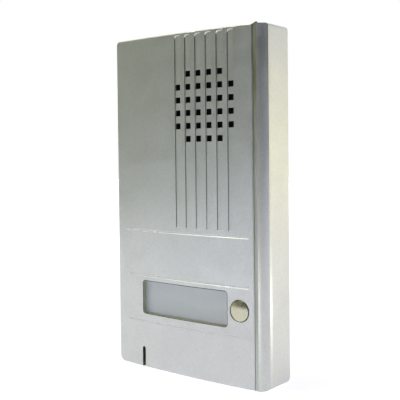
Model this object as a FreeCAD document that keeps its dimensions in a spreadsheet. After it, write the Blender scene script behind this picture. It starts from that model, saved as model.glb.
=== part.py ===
import FreeCAD, Part
import math
import os
import re

import Sketcher

# Wall-mounted door intercom with one call button.
# Frame: X to the right, Y from the front into the wall, Z up. The origin lies under the middle
# of the bounding box, on the surface that the intercom stands on. All depths below are counted
# from the foremost line of the bulged face, and every finished piece is placed so that half of
# the overall depth lies each side of the origin.

# Driving dimensions in millimetres, all kept in the sheet of the document.
SIZES = {
    # overall form
    "face_sagitta": 2.2,
    "corner_top_round": 2.2, "corner_bottom_round": 3.6, "edge_round": 0.8, "overrun": 1,
    # front cover
    "face_wall": 2.2, "side_wall": 1.8, "rail_width": 5, "seam_width": 2.15,
    # side rail and back plate
    "back_thickness": 2, "roll_radius": 7.7, "roll_margin": 0.4, "roll_depth": 3.5,
    "rail_edge_round": 1, "rail_core_wall": 0.6, "rail_core_end": 10, "rail_skin": 2,
    # speaker grille and ribs in the face
    "hole_pitch": 6.58, "hole_width": 3, "groove_lead": 3.5, "groove_width": 3.9,
    "groove_depth": 0.6, "groove_rise": 2.6, "groove_margin": 1.9, "groove_end_radius": 10,
    # fine lines across the face
    "line_left_inset": 5.8, "line_right_inset": 3.05, "line_top": 74.1, "line_pitch": 24.3,
    "line_height": 0.9, "line_depth": 0.28, "line_taper": 3.5,
    # name window
    "window_left_inset": 19.3, "window_right_inset": 15.55, "window_bottom": 29.2,
    "window_height": 17.4, "window_round": 1.5, "window_step": 0.25, "window_land": 2.5,
    "window_play": 0.1, "lens_rise": 1, "lens_flange": 1, "lens_lip": 1.5, "lens_side_lip": 0.7,
    "card_thickness": 0.3, "card_margin": 0.3, "tray_plate": 1.2, "tray_rim": 1.6, "tray_rim_width": 1,
    "hook_width": 6, "hook_wall": 1.5, "hook_nib": 0.8, "hook_spacing": 32, "hook_play": 0.05,
    # call button
    "button_inset": 8.45, "button_drop": 0.1, "button_radius": 5.2, "button_gap": 0.25,
    "button_proud": 0.8, "button_sink": 0.08, "button_skirt": 4.3,
    "button_wall": 1, "button_crown": 1.5, "stem_radius": 1.9, "running_play": 0.08,
    "guide_wall": 0.8, "guide_plate": 1, "guide_length": 4.28,
    "ear_run": 5, "ear_width": 5, "ear_thickness": 1.2, "boss_radius": 2.4,
    "clip_thickness": 0.5, "clip_width": 1.3, "clip_gap": 0.1,
    "spring_wire": 0.4, "spring_room": 1, "spring_play": 0.05,
    # push switch under the button
    "switch_width": 6, "switch_height": 4, "plunger_radius": 1.6, "plunger_lift": 1.4,
    "plunger_gap": 0.05, "plunger_root": 1, "plunger_well": 2.6,
    # loudspeaker
    "speaker_radius": 22.5, "speaker_side_gap": 6.2, "speaker_top_gap": 15.2,
    "seat_step": 0.1, "pad_margin": 2,
    "mesh_thickness": 0.3, "mesh_inset": 0.5, "seal_thickness": 0.8, "seal_width": 2.9,
    "flange_thickness": 1, "flange_width": 3.5, "flange_land": 2.3, "basket_depth": 5.7,
    "basket_wall": 1, "basket_slope": 6.6, "basket_eye_gap": 0.8,
    "pole_plate_thickness": 1.5, "magnet_radius": 11, "magnet_eye_gap": 1.1,
    "magnet_thickness": 3.5, "pole_radius": 4.25, "coil_gap": 0.22, "coil_wall": 0.4,
    "coil_length": 3.9, "yoke_thickness": 1.5, "yoke_inset": 0.5, "back_room": 3.1,
    "surround_width": 2.5, "surround_skin": 0.25, "cone_front": 1.15, "cone_drop": 2.5,
    "cone_thickness": 0.4, "cap_overlap": 1.1, "cap_rise": 1.3,
    "tab_width": 6, "tab_height": 1.5, "tab_thickness": 0.8, "tab_pin": 2, "tab_pitch": 3,
    "tab_lift": 0.6, "clamp_grip": 1.6, "clamp_reach": 4.1, "clamp_width": 5,
    "clamp_thickness": 0.8, "clamp_end": 2.4,
    # small screws of one size
    "screw_shank": 1.1, "screw_head": 2.1, "screw_head_height": 1.3, "screw_length": 3,
    "screw_slot": 0.5, "screw_slot_depth": 0.6, "screw_play": 0.05, "clearance_hole": 1.3,
    # microphone
    "mic_inset": 19.4, "mic_z": 8.4, "mic_radius": 4.83, "mic_height": 4.5, "boot_wall": 1.15,
    "boot_skin": 1.2, "boot_length": 6.2, "boot_ring": 1.2, "cradle_length": 3.6,
    "mic_hole": 1.5, "mic_play": 0.02, "slot_width": 1.9, "slot_top": 11, "slot_reach": 0.6,
    # circuit board and what stands on it
    "board_width": 82.85, "board_height": 85, "board_gap": 2.2, "board_reach": 10.8,
    "board_speaker_gap": 3.8, "board_thickness": 1.6,
    "post_height": 3.8, "post_radius": 3.2, "post_inset": 4, "board_hole": 1.6,
    "board_screw_shank": 1.35, "board_screw_head": 2.6, "board_screw_rise": 1.8,
    "board_screw_length": 3.4, "pilot_hole": 1.4,
    "terminal_pitch": 5, "terminal_depth": 8, "terminal_room": 1.3, "terminal_corner": 7,
    "terminal_drop": 5, "terminal_mouth": 3.2, "terminal_mouth_depth": 4, "terminal_mouth_lift": 1.2,
    "terminal_screw_radius": 1.7, "terminal_screw_rise": 6, "terminal_screw_sink": 0.6,
    "trimmer_width": 7, "trimmer_height": 4.6, "rotor_radius": 2.3, "rotor_well": 2,
    "rotor_rise": 0.5, "rotor_play": 0.05, "rotor_slot": 0.6, "rotor_slot_depth": 0.9,
    "chip_width": 6.4, "chip_length": 9.8, "chip_height": 3.3, "chip_lift": 0.5,
    "chip_pin": 0.5, "chip_pin_pitch": 2.54, "chip_pin_reach": 0.9, "chip_pin_top": 2,
    "capacitor_radius": 3.15, "capacitor_height": 8, "capacitor_bead": 0.25, "capacitor_vent": 0.3,
    "film_width": 7.2, "film_thickness": 2.6, "film_height": 6.5,
    "resistor_radius": 1.1, "resistor_length": 6, "lead_radius": 0.3, "leg_radius": 0.36, "lead_span": 9.6,
    "diode_radius": 0.9, "diode_length": 4, "axial_lift": 1.4,
    "core_width": 14, "core_height": 12, "core_depth": 9.4, "core_leg": 3, "winding_gap": 0.3,
    "header_width": 8, "header_height": 5, "header_depth": 3.5, "header_edge": 2,
    "mic_header_width": 5, "mic_header_height": 3, "mic_header_lift": 1,
    "lamp_radius": 1.5, "lamp_base": 1.9, "lamp_height": 6, "lamp_base_height": 1, "lamp_spread": 14,
    "wire_radius": 0.35, "wire_lift": 2, "wire_bend": 1.8,
    "mic_wire_lift": 1.6, "mic_wire_spacing": 2.2,
    # fixings of the case
    "fixing_inset": 20, "fixing_radius": 2.25, "fixing_length": 8,
    "catch_spacing": 50, "catch_width": 8, "catch_wall": 2, "catch_reach": 6.5, "catch_nib": 1.7,
    "lug_reach": 2.8, "lug_gap": 0.3, "lug_depth": 2,
    "lock_set": 6, "lock_boss_width": 9, "lock_boss_top": 12, "lock_boss_reach": 4.5,
    "lock_gap": 0.3, "lock_head": 2.75, "lock_shank": 1.25, "lock_sink": 0.2, "lock_cone": 1.3,
    "lock_length": 9, "lock_play": 0.15, "lock_socket": 1.2, "lock_socket_depth": 0.8,
    # cable entry, wall seal and seam strip
    "entry_inset": 21, "entry_drop": 40, "entry_radius": 9, "grommet_bore": 6.2,
    "grommet_overhang": 2.2, "grommet_lip": 1.1, "grommet_play": 0.05,
    "foam_inset": 3, "foam_width": 3, "foam_depth": 1.2, "foam_rail_gap": 0.6, "foam_round": 2,
    "strip_recess": 1.05, "strip_depth": 3.6, "strip_play": 0.1, "strip_pip": 0.7,
    "strip_bottom": 0.3,
}

GRILLE_COLUMNS = 6
GRILLE_ROWS = 6
LINE_COUNT = 3
TERMINALS = 6
CLAMP_ANGLES = (90, 210, 330)

# Places on the circuit board as shares of its width and of its height.
CHIP_SHARES = ((0.55, 0.42), (0.55, 0.62))
CAPACITOR_SHARES = ((0.10, 0.38), (0.10, 0.50), (0.10, 0.62), (0.22, 0.62))
FILM_SHARES = ((0.24, 0.36), (0.24, 0.42), (0.24, 0.48))
RESISTOR_SHARES = tuple((0.39, 0.34 + 0.05 * row) for row in range(8))
DIODE_SHARES = tuple((0.72, 0.36 + 0.05 * row) for row in range(4))
TRANSFORMER_SHARE = (0.66, 0.80)
VOLUME_SHARE = (0.857, 0.60)
MICROPHONE_SHARE = (0.857, 0.435)

WORD = re.compile(r"[a-z][a-z_]+")
PLANES = {"plan": "XY_Plane", "front": "XZ_Plane", "side": "YZ_Plane"}

doc = FreeCAD.newDocument("DoorIntercom")
sheet = doc.addObject("Spreadsheet::Sheet", "Sizes")
for line, (alias, size) in enumerate(SIZES.items(), start=1):
    sheet.set(f"A{line}", alias)
    sheet.set(f"B{line}", str(size))
    sheet.setAlias(f"B{line}", alias)
doc.recompute()

# Sizes and places worked out from the driving dimensions.
HALF_WIDTH = "overall_width / 2"
FACE_RADIUS = "(overall_width ^ 2 / 4 + face_sagitta ^ 2) / (2 * face_sagitta)"


def face(x):
    """The depth of the bulged face at a distance x from the middle."""
    return f"({FACE_RADIUS} - sqrt(({FACE_RADIUS}) ^ 2 - ({x}) ^ 2))"


WORKED_OUT = {
    "overall_width": "board_width + 2 * (side_wall + board_gap) + seam_width + rail_width",
    "overall_height": "speaker_z + speaker_radius + speaker_top_gap",
    "overall_depth": "speaker_pad_face + mesh_thickness + seal_thickness + basket_depth"
                     " + pole_plate_thickness + magnet_thickness + yoke_thickness + back_room"
                     " + back_thickness",
    "cover_right": "overall_width / 2 - rail_width - seam_width",
    "roll_width": "rail_width - roll_margin",
    "speaker_x": "cover_right - speaker_radius - speaker_side_gap",
    "speaker_z": "board_bottom + board_height + board_speaker_gap + speaker_radius",
    "speaker_pad_radius": "speaker_radius + pad_margin",
    "speaker_pad_face": f"{face('speaker_x + speaker_pad_radius')} + face_wall + seat_step",
    "groove_bottom": "line_top + groove_rise",
    "groove_top": "overall_height - groove_margin",
    "line_left": "overall_width / 2 - line_left_inset",
    "line_right": "cover_right - line_right_inset",
    "window_left": "overall_width / 2 - window_left_inset",
    "window_right": "cover_right - window_right_inset",
    "window_top": "window_bottom + window_height",
    "window_seat": f"{face('window_left + window_land')} + face_wall + window_step",
    "lens_recess": "window_seat - lens_rise",
    "button_x": "cover_right - button_inset",
    "button_z": "window_bottom + window_height / 2 - button_drop",
    "button_edge": f"{face('button_x')} + button_sink",
    "button_skirt_end": "button_edge + button_skirt",
    "guide_radius": "button_radius + guide_wall",
    "guide_front": f"{face('button_x + guide_radius')} + face_wall + seat_step",
    "guide_end": "guide_front + guide_length",
    "ear_reach": "guide_radius + ear_run",
    "clip_radius": "stem_radius + clip_width",
    "spring_radius": "button_radius - button_wall - spring_room",
    "mesh_radius": "speaker_radius - mesh_inset",
    "seal_inner": "speaker_radius - seal_width",
    "flange_inner": "speaker_radius - flange_width",
    "basket_radius": "speaker_radius - flange_land",
    "basket_floor": "basket_radius - basket_slope",
    "pole_eye": "pole_radius + 2 * coil_gap + coil_wall",
    "basket_eye": "pole_eye + basket_eye_gap",
    "magnet_eye": "pole_eye + magnet_eye_gap",
    "yoke_radius": "magnet_radius - yoke_inset",
    "cone_radius": "flange_inner - surround_width",
    "cap_radius": "pole_radius + coil_gap + cap_overlap",
    "tab_drop": "speaker_radius - tab_lift",
    "clamp_start": "speaker_radius - clamp_grip",
    "clamp_radius": "speaker_radius + clamp_reach",
    "mic_x": "overall_width / 2 - mic_inset",
    "boot_front": f"{face('mic_x + mic_radius + boot_wall')} + face_wall + seat_step",
    "boot_ring_end": "boot_front + cradle_length",
    "slot_depth": "boot_front + slot_reach",
    "board_bottom": "button_z - board_reach",
    "fixing_spacing": "overall_height - 2 * fixing_inset",
    "entry_x": "overall_width / 2 - entry_inset",
    "entry_z": "overall_height - entry_drop",
    "grommet_flange": "entry_radius + grommet_overhang",
    "lock_depth": "overall_depth - back_thickness - lock_set",
    "lock_boss_front": "lock_depth - lock_boss_reach",
}
RAIL_LEFT = "(overall_width / 2 - rail_width)"
COVER_RIGHT = "cover_right"
PLATE = "(overall_depth - back_thickness)"
BOARD_BACK = f"({PLATE} - post_height)"
BOARD = f"({BOARD_BACK} - board_thickness)"
BOARD_LEFT = "(-overall_width / 2 + side_wall + board_gap)"
BOARD_RIGHT = f"({BOARD_LEFT} + board_width)"
BOARD_TOP = "(board_bottom + board_height)"
TERMINAL_LEFT = f"({BOARD_LEFT} + terminal_corner)"
MESH_BACK = "(speaker_pad_face + mesh_thickness)"
FLANGE = f"({MESH_BACK} + seal_thickness)"
FLANGE_BACK = f"({FLANGE} + flange_thickness)"
BASKET_BACK = f"({FLANGE} + basket_depth)"
POLE_BACK = f"({BASKET_BACK} + pole_plate_thickness)"
MAGNET_BACK = f"({POLE_BACK} + magnet_thickness)"
LENS_BACK = "(window_seat + lens_flange)"
CARD_BACK = f"({LENS_BACK} + card_thickness)"
TRAY_BACK = f"({CARD_BACK} + tray_plate)"
SWITCH_FRONT = f"({BOARD} - switch_height)"
PLUNGER_FRONT = f"({SWITCH_FRONT} - plunger_lift)"
STEM_END = f"({PLUNGER_FRONT} - plunger_gap)"
COIL_INNER = "(pole_radius + coil_gap)"
COIL_OUTER = f"({COIL_INNER} + coil_wall)"
CONE_FRONT = f"({FLANGE} + cone_front)"
CONE_NECK = f"({CONE_FRONT} + cone_drop)"
COIL_FRONT = f"({CONE_NECK} + cone_thickness)"
STRIP_FRONT = f"({face(RAIL_LEFT)} + strip_recess)"
SPEAKER = ("speaker_x", "speaker_z")
BUTTON = ("button_x", "button_z")
MICROPHONE = ("-mic_x", "mic_z")
LOCK = ("0", "lock_depth")


def cells(text):
    """Turn the names in an expression into references to the sheet."""
    def reference(match):
        word = match.group()
        if word in WORKED_OUT:
            return f"({cells(WORKED_OUT[word])})"
        return f"Sizes.{word}" if word in SIZES else word
    return WORD.sub(reference, text)


def value(text):
    """The present number that an expression of sizes gives."""
    return float(sheet.evalExpression(cells(text)))


def bind(item, links):
    """Bind each named property of an object to its expression."""
    for prop, text in links.items():
        item.setExpression(prop, cells(text))
    return item


def at(x, y, z):
    """Expressions for a placement's base."""
    return {"Placement.Base.x": x, "Placement.Base.y": y, "Placement.Base.z": z}


def box(name, x, y, z):
    """A block between two places along each axis."""
    item = doc.addObject("Part::Box", name)
    spans = {"Length": f"{x[1]} - ({x[0]})", "Width": f"{y[1]} - ({y[0]})", "Height": f"{z[1]} - ({z[0]})"}
    return bind(item, {**spans, **at(x[0], y[0], z[0])})


def middle_box(name, centre, size, y):
    """A block centred on a point of the front view."""
    x = (f"{centre[0]} - ({size[0]}) / 2", f"{centre[0]} + ({size[0]}) / 2")
    z = (f"{centre[1]} - ({size[1]}) / 2", f"{centre[1]} + ({size[1]}) / 2")
    return box(name, x, y, z)


def rod(name, centre, y, radius):
    """A cylinder that runs from front to back."""
    item = doc.addObject("Part::Cylinder", name)
    item.Placement.Rotation = FreeCAD.Rotation(FreeCAD.Vector(1, 0, 0), -90)
    return bind(item, {"Radius": radius, "Height": f"{y[1]} - ({y[0]})", **at(centre[0], y[0], centre[1])})


def upright(name, centre, z, radius):
    """A cylinder that runs upwards."""
    item = doc.addObject("Part::Cylinder", name)
    return bind(item, {"Radius": radius, "Height": f"{z[1]} - ({z[0]})", **at(centre[0], centre[1], z[0])})


def across(name, x, y, z, radius):
    """A cylinder that runs from left to right."""
    item = doc.addObject("Part::Cylinder", name)
    item.Placement.Rotation = FreeCAD.Rotation(FreeCAD.Vector(0, 1, 0), 90)
    return bind(item, {"Radius": radius, "Height": f"{x[1]} - ({x[0]})", **at(x[0], y, z)})


def ring(name, centre, y, outer, inner):
    """A tube that runs from front to back."""
    reach = (f"{y[0]} - overrun", f"{y[1]} + overrun")
    return cut(name, rod(name + "_outside", centre, y, outer), rod(name + "_inside", centre, reach, inner))


def fuse(name, *items):
    """One solid made of several that touch or cross."""
    item = doc.addObject("Part::MultiFuse", name)
    item.Shapes = list(items)
    return item


def group(name, items):
    """Separate solids kept together as one node."""
    item = doc.addObject("Part::Compound", name)
    item.Links = list(items)
    return item


def cut(name, base, *tools):
    """The base with one or more tools taken away."""
    item = doc.addObject("Part::Cut", name)
    item.Base = base
    item.Tool = tools[0] if len(tools) == 1 else fuse(name + "_tools", *tools)
    return item


def common(name, first, second):
    """The space that two solids share."""
    item = doc.addObject("Part::Common", name)
    item.Base = first
    item.Tool = second
    return item


def arc_between(start, end, radius):
    """The centre and angles of an arc; a positive radius bulges to the right of the way."""
    across_way = end - start
    middle = (start + end) / 2
    height = math.sqrt(max(radius * radius - across_way.Length ** 2 / 4, 0))
    left = FreeCAD.Vector(-across_way.y, across_way.x, 0).normalize()
    centre = middle + left * (height if radius > 0 else -height)
    first, last = (start, end) if radius > 0 else (end, start)
    angles = [math.atan2(point.y - centre.y, point.x - centre.x) for point in (first, last)]
    if angles[1] <= angles[0]:
        angles[1] += 2 * math.pi
    return centre, angles


def outline(body, plane, points):
    """A closed sketch on one of the body's planes. A third entry in a point is the radius of the
    arc that leads to the next one, and each corner is bound to its two expressions."""
    sketch = body.newObject("Sketcher::SketchObject", body.Name + "_sketch")
    origin = [part for part in body.Origin.OriginFeatures if part.Role == PLANES[plane]][0]
    sketch.AttachmentSupport = (origin, [""])
    sketch.MapMode = "FlatFace"
    corners = [FreeCAD.Vector(value(point[0]), value(point[1]), 0) for point in points]
    starts = []
    for index, point in enumerate(points):
        start = corners[index]
        end = corners[(index + 1) % len(points)]
        if len(point) == 2:
            sketch.addGeometry(Part.LineSegment(start, end), False)
            starts.append(1)
            continue
        radius = value(point[2])
        centre, angles = arc_between(start, end, radius)
        circle = Part.Circle(centre, FreeCAD.Vector(0, 0, 1), abs(radius))
        sketch.addGeometry(Part.ArcOfCircle(circle, *angles), False)
        starts.append(1 if radius > 0 else 2)
    for index, start in enumerate(starts):
        following = (index + 1) % len(points)
        link = Sketcher.Constraint("Coincident", index, 3 - start, following, starts[following])
        sketch.addConstraint(link)
    for index, point in enumerate(points):
        corner = corners[index]
        for kind, text, place in (("DistanceX", point[0], corner.x), ("DistanceY", point[1], corner.y)):
            number = sketch.addConstraint(Sketcher.Constraint(kind, -1, 1, index, starts[index], place))
            sketch.setExpression(f"Constraints[{number}]", cells(text))
        if len(point) == 3:
            number = sketch.addConstraint(Sketcher.Constraint("Radius", index, abs(value(point[2]))))
            sketch.setExpression(f"Constraints[{number}]", cells(f"abs({point[2]})"))
    return sketch


def prism(name, plane, points, low, high):
    """A body with a straight outline: plan runs up, front runs back, side runs to the right."""
    body = doc.addObject("PartDesign::Body", name)
    sketch = outline(body, plane, points)
    sketch.setExpression("AttachmentOffset.Base.z", cells(f"-({high})" if plane == "front" else low))
    pad = body.newObject("PartDesign::Pad", name + "_pad")
    pad.Profile = sketch
    pad.setExpression("Length", cells(f"{high} - ({low})"))
    doc.recompute()
    return body


def plate(name, x, y, z, rounds=()):
    """A body with a rectangular front view; rounds holds a corner test and a radius for each."""
    corners = ((x[0], z[0]), (x[1], z[0]), (x[1], z[1]), (x[0], z[1]))
    body = prism(name, "front", corners, y[0], y[1])
    for test, radius in rounds:
        round_edges(body, lambda edge: runs_along(edge, "y") and test(edge.CenterOfMass), radius)
    return body


def runs_along(edge, axis):
    """Whether an edge is straight and parallel to an axis."""
    if edge.Curve.TypeId != "Part::GeomLine":
        return False
    return abs(abs(getattr(edge.tangentAt(edge.FirstParameter), axis)) - 1) < 1e-6


def round_edges(body, test, radius):
    """Round the edges of a body's last feature that pass a test."""
    base = body.Tip
    names = [f"Edge{n}" for n, edge in enumerate(base.Shape.Edges, start=1) if test(edge)]
    fillet = body.newObject("PartDesign::Fillet", f"{body.Name}_round")
    fillet.Base = (base, names)
    fillet.setExpression("Radius", cells(radius))
    doc.recompute()
    return fillet


def pocket(body, plane, points):
    """Cut an outline right through a body, both ways from its plane."""
    sketch = outline(body, plane, points)
    doc.recompute()
    before = body.Shape.Volume
    feature = body.newObject("PartDesign::Pocket", body.Name + "_pocket")
    feature.Profile = sketch
    feature.Type = "ThroughAll"
    feature.Midplane = True
    doc.recompute()
    assert feature.Shape.Volume < before, f"{body.Name}: the pocket cuts nothing"
    return feature


def turned(name, centre, points):
    """A round body about an axis from front to back, from an outline of radius and depth."""
    body = doc.addObject("PartDesign::Body", name)
    sketch = outline(body, "plan", points)
    revolution = body.newObject("PartDesign::Revolution", name + "_turn")
    revolution.Profile = sketch
    revolution.ReferenceAxis = (sketch, ["V_Axis"])
    revolution.Angle = 360
    return bind(body, at(centre[0], "0", centre[1]))


def curved_front(name, x, y, z, sag, rounds=()):
    """A block whose front follows the bulge of the face, sag behind it."""
    body = plate(name, x, y, z, rounds)
    radius = f"({FACE_RADIUS} - ({sag}))"
    drop = f"({FACE_RADIUS} - sqrt({radius} ^ 2 - ({HALF_WIDTH} - ({sag})) ^ 2))"
    edge = f"{HALF_WIDTH} - ({sag})"
    front = "-overall_width"
    points = ((f"-({HALF_WIDTH}) - overrun", front), (f"{HALF_WIDTH} + overrun", front),
              (f"{HALF_WIDTH} + overrun", drop), (edge, drop, f"-{radius}"),
              (f"-({edge})", drop), (f"-({HALF_WIDTH}) - overrun", drop))
    pocket(body, "plan", points)
    return body


def slotted_screw(name, centre, head, shank_end, shank, head_radius, head_height):
    """A screw that points back, with a slotted pan head whose underside lies at a depth."""
    front = f"({head} - ({head_height}))"
    solid = fuse(name + "_blank", rod(name + "_head", centre, (front, head), head_radius),
                 rod(name + "_shank", centre, (head, shank_end), shank))
    slot = middle_box(name + "_slot", centre, (f"3 * ({head_radius})", "screw_slot"),
                      (f"{front} - overrun", f"{front} + screw_slot_depth"))
    return cut(name, solid, slot)


def board_place(share):
    """The point of the board at a share of its width and of its height."""
    x = f"({BOARD_LEFT} + {share[0]:.3f} * ({BOARD_RIGHT} - {BOARD_LEFT}))"
    z = f"(board_bottom + {share[1]:.3f} * ({BOARD_TOP} - board_bottom))"
    return x, z


def board_corners():
    """The four fixing points of the board."""
    xs = (f"{BOARD_LEFT} + post_inset", f"{BOARD_RIGHT} - post_inset")
    zs = ("board_bottom + post_inset", f"{BOARD_TOP} - post_inset")
    return [(x, z) for x in xs for z in zs]


def above(middle):
    return lambda point: point.z > middle


def below(middle):
    return lambda point: point.z < middle


def ramp_groove(number):
    """The space of one upright groove: deep along its left line, running out to the right, with
    a curved upper end. It lies a fixed lead to the left of its column of holes."""
    column = f"(speaker_x + {number - (GRILLE_COLUMNS - 1) / 2} * hole_pitch)"
    left = f"({column} - groove_lead + hole_width / 2)"
    right = f"({left} + groove_width)"
    name = f"groove_{number + 1}"
    plan = ((left, "-overrun"), (right, "-overrun"), (right, face(right)),
            (left, f"{face(left)} + groove_depth"))
    drop = "(groove_end_radius - sqrt(groove_end_radius ^ 2 - groove_width ^ 2))"
    front = ((left, "groove_bottom"), (right, "groove_bottom"),
             (right, "groove_top", "groove_end_radius"), (left, f"groove_top - {drop}"))
    run = prism(name + "_ramp", "plan", plan, "groove_bottom - overrun", "groove_top + overrun")
    end = prism(name + "_end", "front", front, "-2 * overrun", "overall_depth / 2")
    return common(name, run, end)


def fine_line(number):
    """The space of one fine line across the face: a shallow ramp, deep along its upper edge, whose
    lower edge starts further right."""
    top = f"(line_top - {number} * line_pitch)"
    left = "-line_left"
    name = f"line_{number + 1}"
    front = ((left, top), (f"{left} + line_taper", f"{top} - line_height"),
             ("line_right", f"{top} - line_height"), ("line_right", top))
    strip = prism(name + "_strip", "front", front, "-overrun", "overall_depth / 2")
    depth = curved_front(name + "_depth", ("-line_left - overrun", "line_right + overrun"),
                         ("-overrun", "overall_depth"),
                         (f"{top} - line_height - overrun", f"{top} + overrun"), "line_depth")
    return cut(name, strip, depth)


def grille_holes():
    """Square holes in rows and columns, with none at the four corners."""
    holes = []
    reach = ("-overrun", "speaker_pad_face + overrun")
    for column in range(GRILLE_COLUMNS):
        for row in range(GRILLE_ROWS):
            if column in (0, GRILLE_COLUMNS - 1) and row in (0, GRILLE_ROWS - 1):
                continue
            centre = (f"speaker_x + {column - (GRILLE_COLUMNS - 1) / 2} * hole_pitch",
                      f"speaker_z + {row - (GRILLE_ROWS - 1) / 2} * hole_pitch")
            holes.append(middle_box(f"hole_{column}_{row}", centre, ("hole_width", "hole_width"), reach))
    return holes


def clamp_point(angle, radius):
    """A point round the loudspeaker."""
    x = f"speaker_x + ({radius}) * {math.cos(math.radians(angle)):.9f}"
    z = f"speaker_z + ({radius}) * {math.sin(math.radians(angle)):.9f}"
    return x, z


def screw_cone(name, wide, narrow):
    """The tapered part under the head of the cover's screw."""
    cone = doc.addObject("Part::Cone", name)
    return bind(cone, {"Radius1": wide, "Radius2": narrow, "Height": "lock_cone",
                       **at(*LOCK, "lock_sink")})


def tray_hook(name, span, wall, edge, way):
    """A hook that holds the card tray: a wall just outside the tray's edge and a nib behind it."""
    far = f"{edge} {way} (hook_play + hook_wall)"
    tip = f"{edge} {'+' if way == '-' else '-'} hook_nib"
    seat = f"{TRAY_BACK} + hook_play"
    end = f"{seat} + hook_nib"
    return [box(name, span, (wall, end), sorted((f"{edge} {way} hook_play", far), key=value)),
            box(name + "_nib", span, (seat, end), sorted((far, tip), key=value))]


def catch_span(sign):
    """The left and right ends of the catch on one side of the middle."""
    return f"{sign} catch_spacing / 2 - catch_width / 2", f"{sign} catch_spacing / 2 + catch_width / 2"


def make_front_cover():
    """The moulded front: bulged face, four walls, and the seats of all that it carries."""
    left = f"-{HALF_WIDTH}"
    middle = value("overall_height / 2")
    corner = value(f"{left} + corner_bottom_round")
    rounds = ((lambda p: p.x < corner and p.z > middle, "corner_top_round"),
              (lambda p: p.x < corner and p.z < middle, "corner_bottom_round"))
    blank = curved_front("cover_blank", (left, COVER_RIGHT), ("0", PLATE), ("0", "overall_height"),
                         "0", rounds)
    limit = value(PLATE) / 2
    round_edges(blank, lambda edge: edge.BoundBox.YMax < limit, "edge_round")
    core = curved_front("cover_core", (f"{left} + side_wall", f"{COVER_RIGHT} - side_wall"),
                        ("0", f"{PLATE} + overrun"), ("side_wall", "overall_height - side_wall"), "face_wall")
    wall = f"({face(COVER_RIGHT)} + face_wall) / 2"
    # seats behind the face
    pad = rod("speaker_pad", SPEAKER, (wall, "speaker_pad_face"), "speaker_pad_radius")
    window = ("-window_left - window_land", "window_right + lens_side_lip")
    land = box("window_land_seat", window, (wall, "window_seat"),
               ("window_bottom - window_land", "window_top + window_land"))
    bosses = [rod(f"clamp_boss_{n}", clamp_point(a, "clamp_radius"), (wall, FLANGE_BACK), "boss_radius")
              for n, a in enumerate(CLAMP_ANGLES)]
    ear_seat = "(guide_end - ear_thickness)"
    ears = [rod(f"ear_boss_{n}", ("button_x", f"button_z {sign} ear_reach"), (wall, ear_seat), "boss_radius")
            for n, sign in enumerate("-+")]
    button_seat = rod("button_seat", BUTTON, (wall, "guide_front"), "guide_radius")
    boot = "(mic_radius + boot_wall)"
    cradle = ring("mic_cradle", MICROPHONE, (wall, "boot_ring_end"), f"{boot} + boot_ring",
                  f"{boot} + mic_play")
    boot_seat = rod("boot_seat", MICROPHONE, (wall, "boot_front"), f"{boot} + boot_ring")
    hooks = []
    for number, sign in enumerate("-+"):
        centre = f"(window_right - window_left) / 2 {sign} hook_spacing / 2"
        span = (f"{centre} - hook_width / 2", f"{centre} + hook_width / 2")
        hooks += tray_hook(f"hook_low_{number}", span, wall, "window_bottom - lens_lip", "-")
        hooks += tray_hook(f"hook_high_{number}", span, wall, "window_top + lens_lip", "+")
    lug = f"({PLATE} - catch_reach + catch_nib + lug_gap)"
    lug_z = ("overall_height - side_wall - lug_reach", "overall_height - side_wall / 2")
    lugs = [box(f"lug_{n}", catch_span(sign), (lug, f"{lug} + lug_depth"), lug_z)
            for n, sign in enumerate("-+")]
    shell = cut("cover_shell", blank, core)
    solid = fuse("cover_solid", shell, pad, land, button_seat, cradle, boot_seat,
                 *bosses, *ears, *hooks, *lugs)
    # openings
    tools = grille_holes()
    tools += [ramp_groove(number) for number in range(GRILLE_COLUMNS)]
    tools += [fine_line(number) for number in range(LINE_COUNT)]
    tools.append(plate("window_hole", ("-window_left", "window_right"),
                       ("-overrun", "window_seat + overrun"), ("window_bottom", "window_top"),
                       ((lambda p: True, "window_round"),)))
    tools.append(rod("button_hole", BUTTON, ("-overrun", "guide_front + overrun"),
                     "button_radius + button_gap"))
    slot_x = ("-mic_x - slot_width / 2", "-mic_x + slot_width / 2")
    slot_y = ("-overrun", "slot_depth")
    tools.append(box("mic_slot", slot_x, slot_y, ("-overrun", "slot_top - slot_width / 2")))
    tools.append(rod("mic_slot_end", ("-mic_x", "slot_top - slot_width / 2"), slot_y, "slot_width / 2"))
    tools += [rod(f"clamp_pilot_{n}", clamp_point(a, "clamp_radius"),
                  (f"{FLANGE_BACK} - screw_length", f"{FLANGE_BACK} + overrun"), "screw_shank + screw_play")
              for n, a in enumerate(CLAMP_ANGLES)]
    tools += [rod(f"ear_pilot_{n}", ("button_x", f"button_z {sign} ear_reach"),
                  (f"{ear_seat} - screw_length", f"{ear_seat} + overrun"), "screw_shank + screw_play")
              for n, sign in enumerate("-+")]
    hole = "lock_shank + lock_play"
    tools.append(screw_cone("lock_sink_cone", "lock_head + lock_play", hole))
    tools.append(upright("lock_sink_mouth", LOCK, ("-overrun", "lock_sink"), "lock_head + lock_play"))
    tools.append(upright("lock_clearance", LOCK, ("0", "side_wall + overrun"), hole))
    return cut("front_cover", solid, *tools)


def fixing_points():
    """The two wall fixings, low and high."""
    return (("0", "fixing_inset"), ("0", "fixing_inset + fixing_spacing"))


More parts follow.
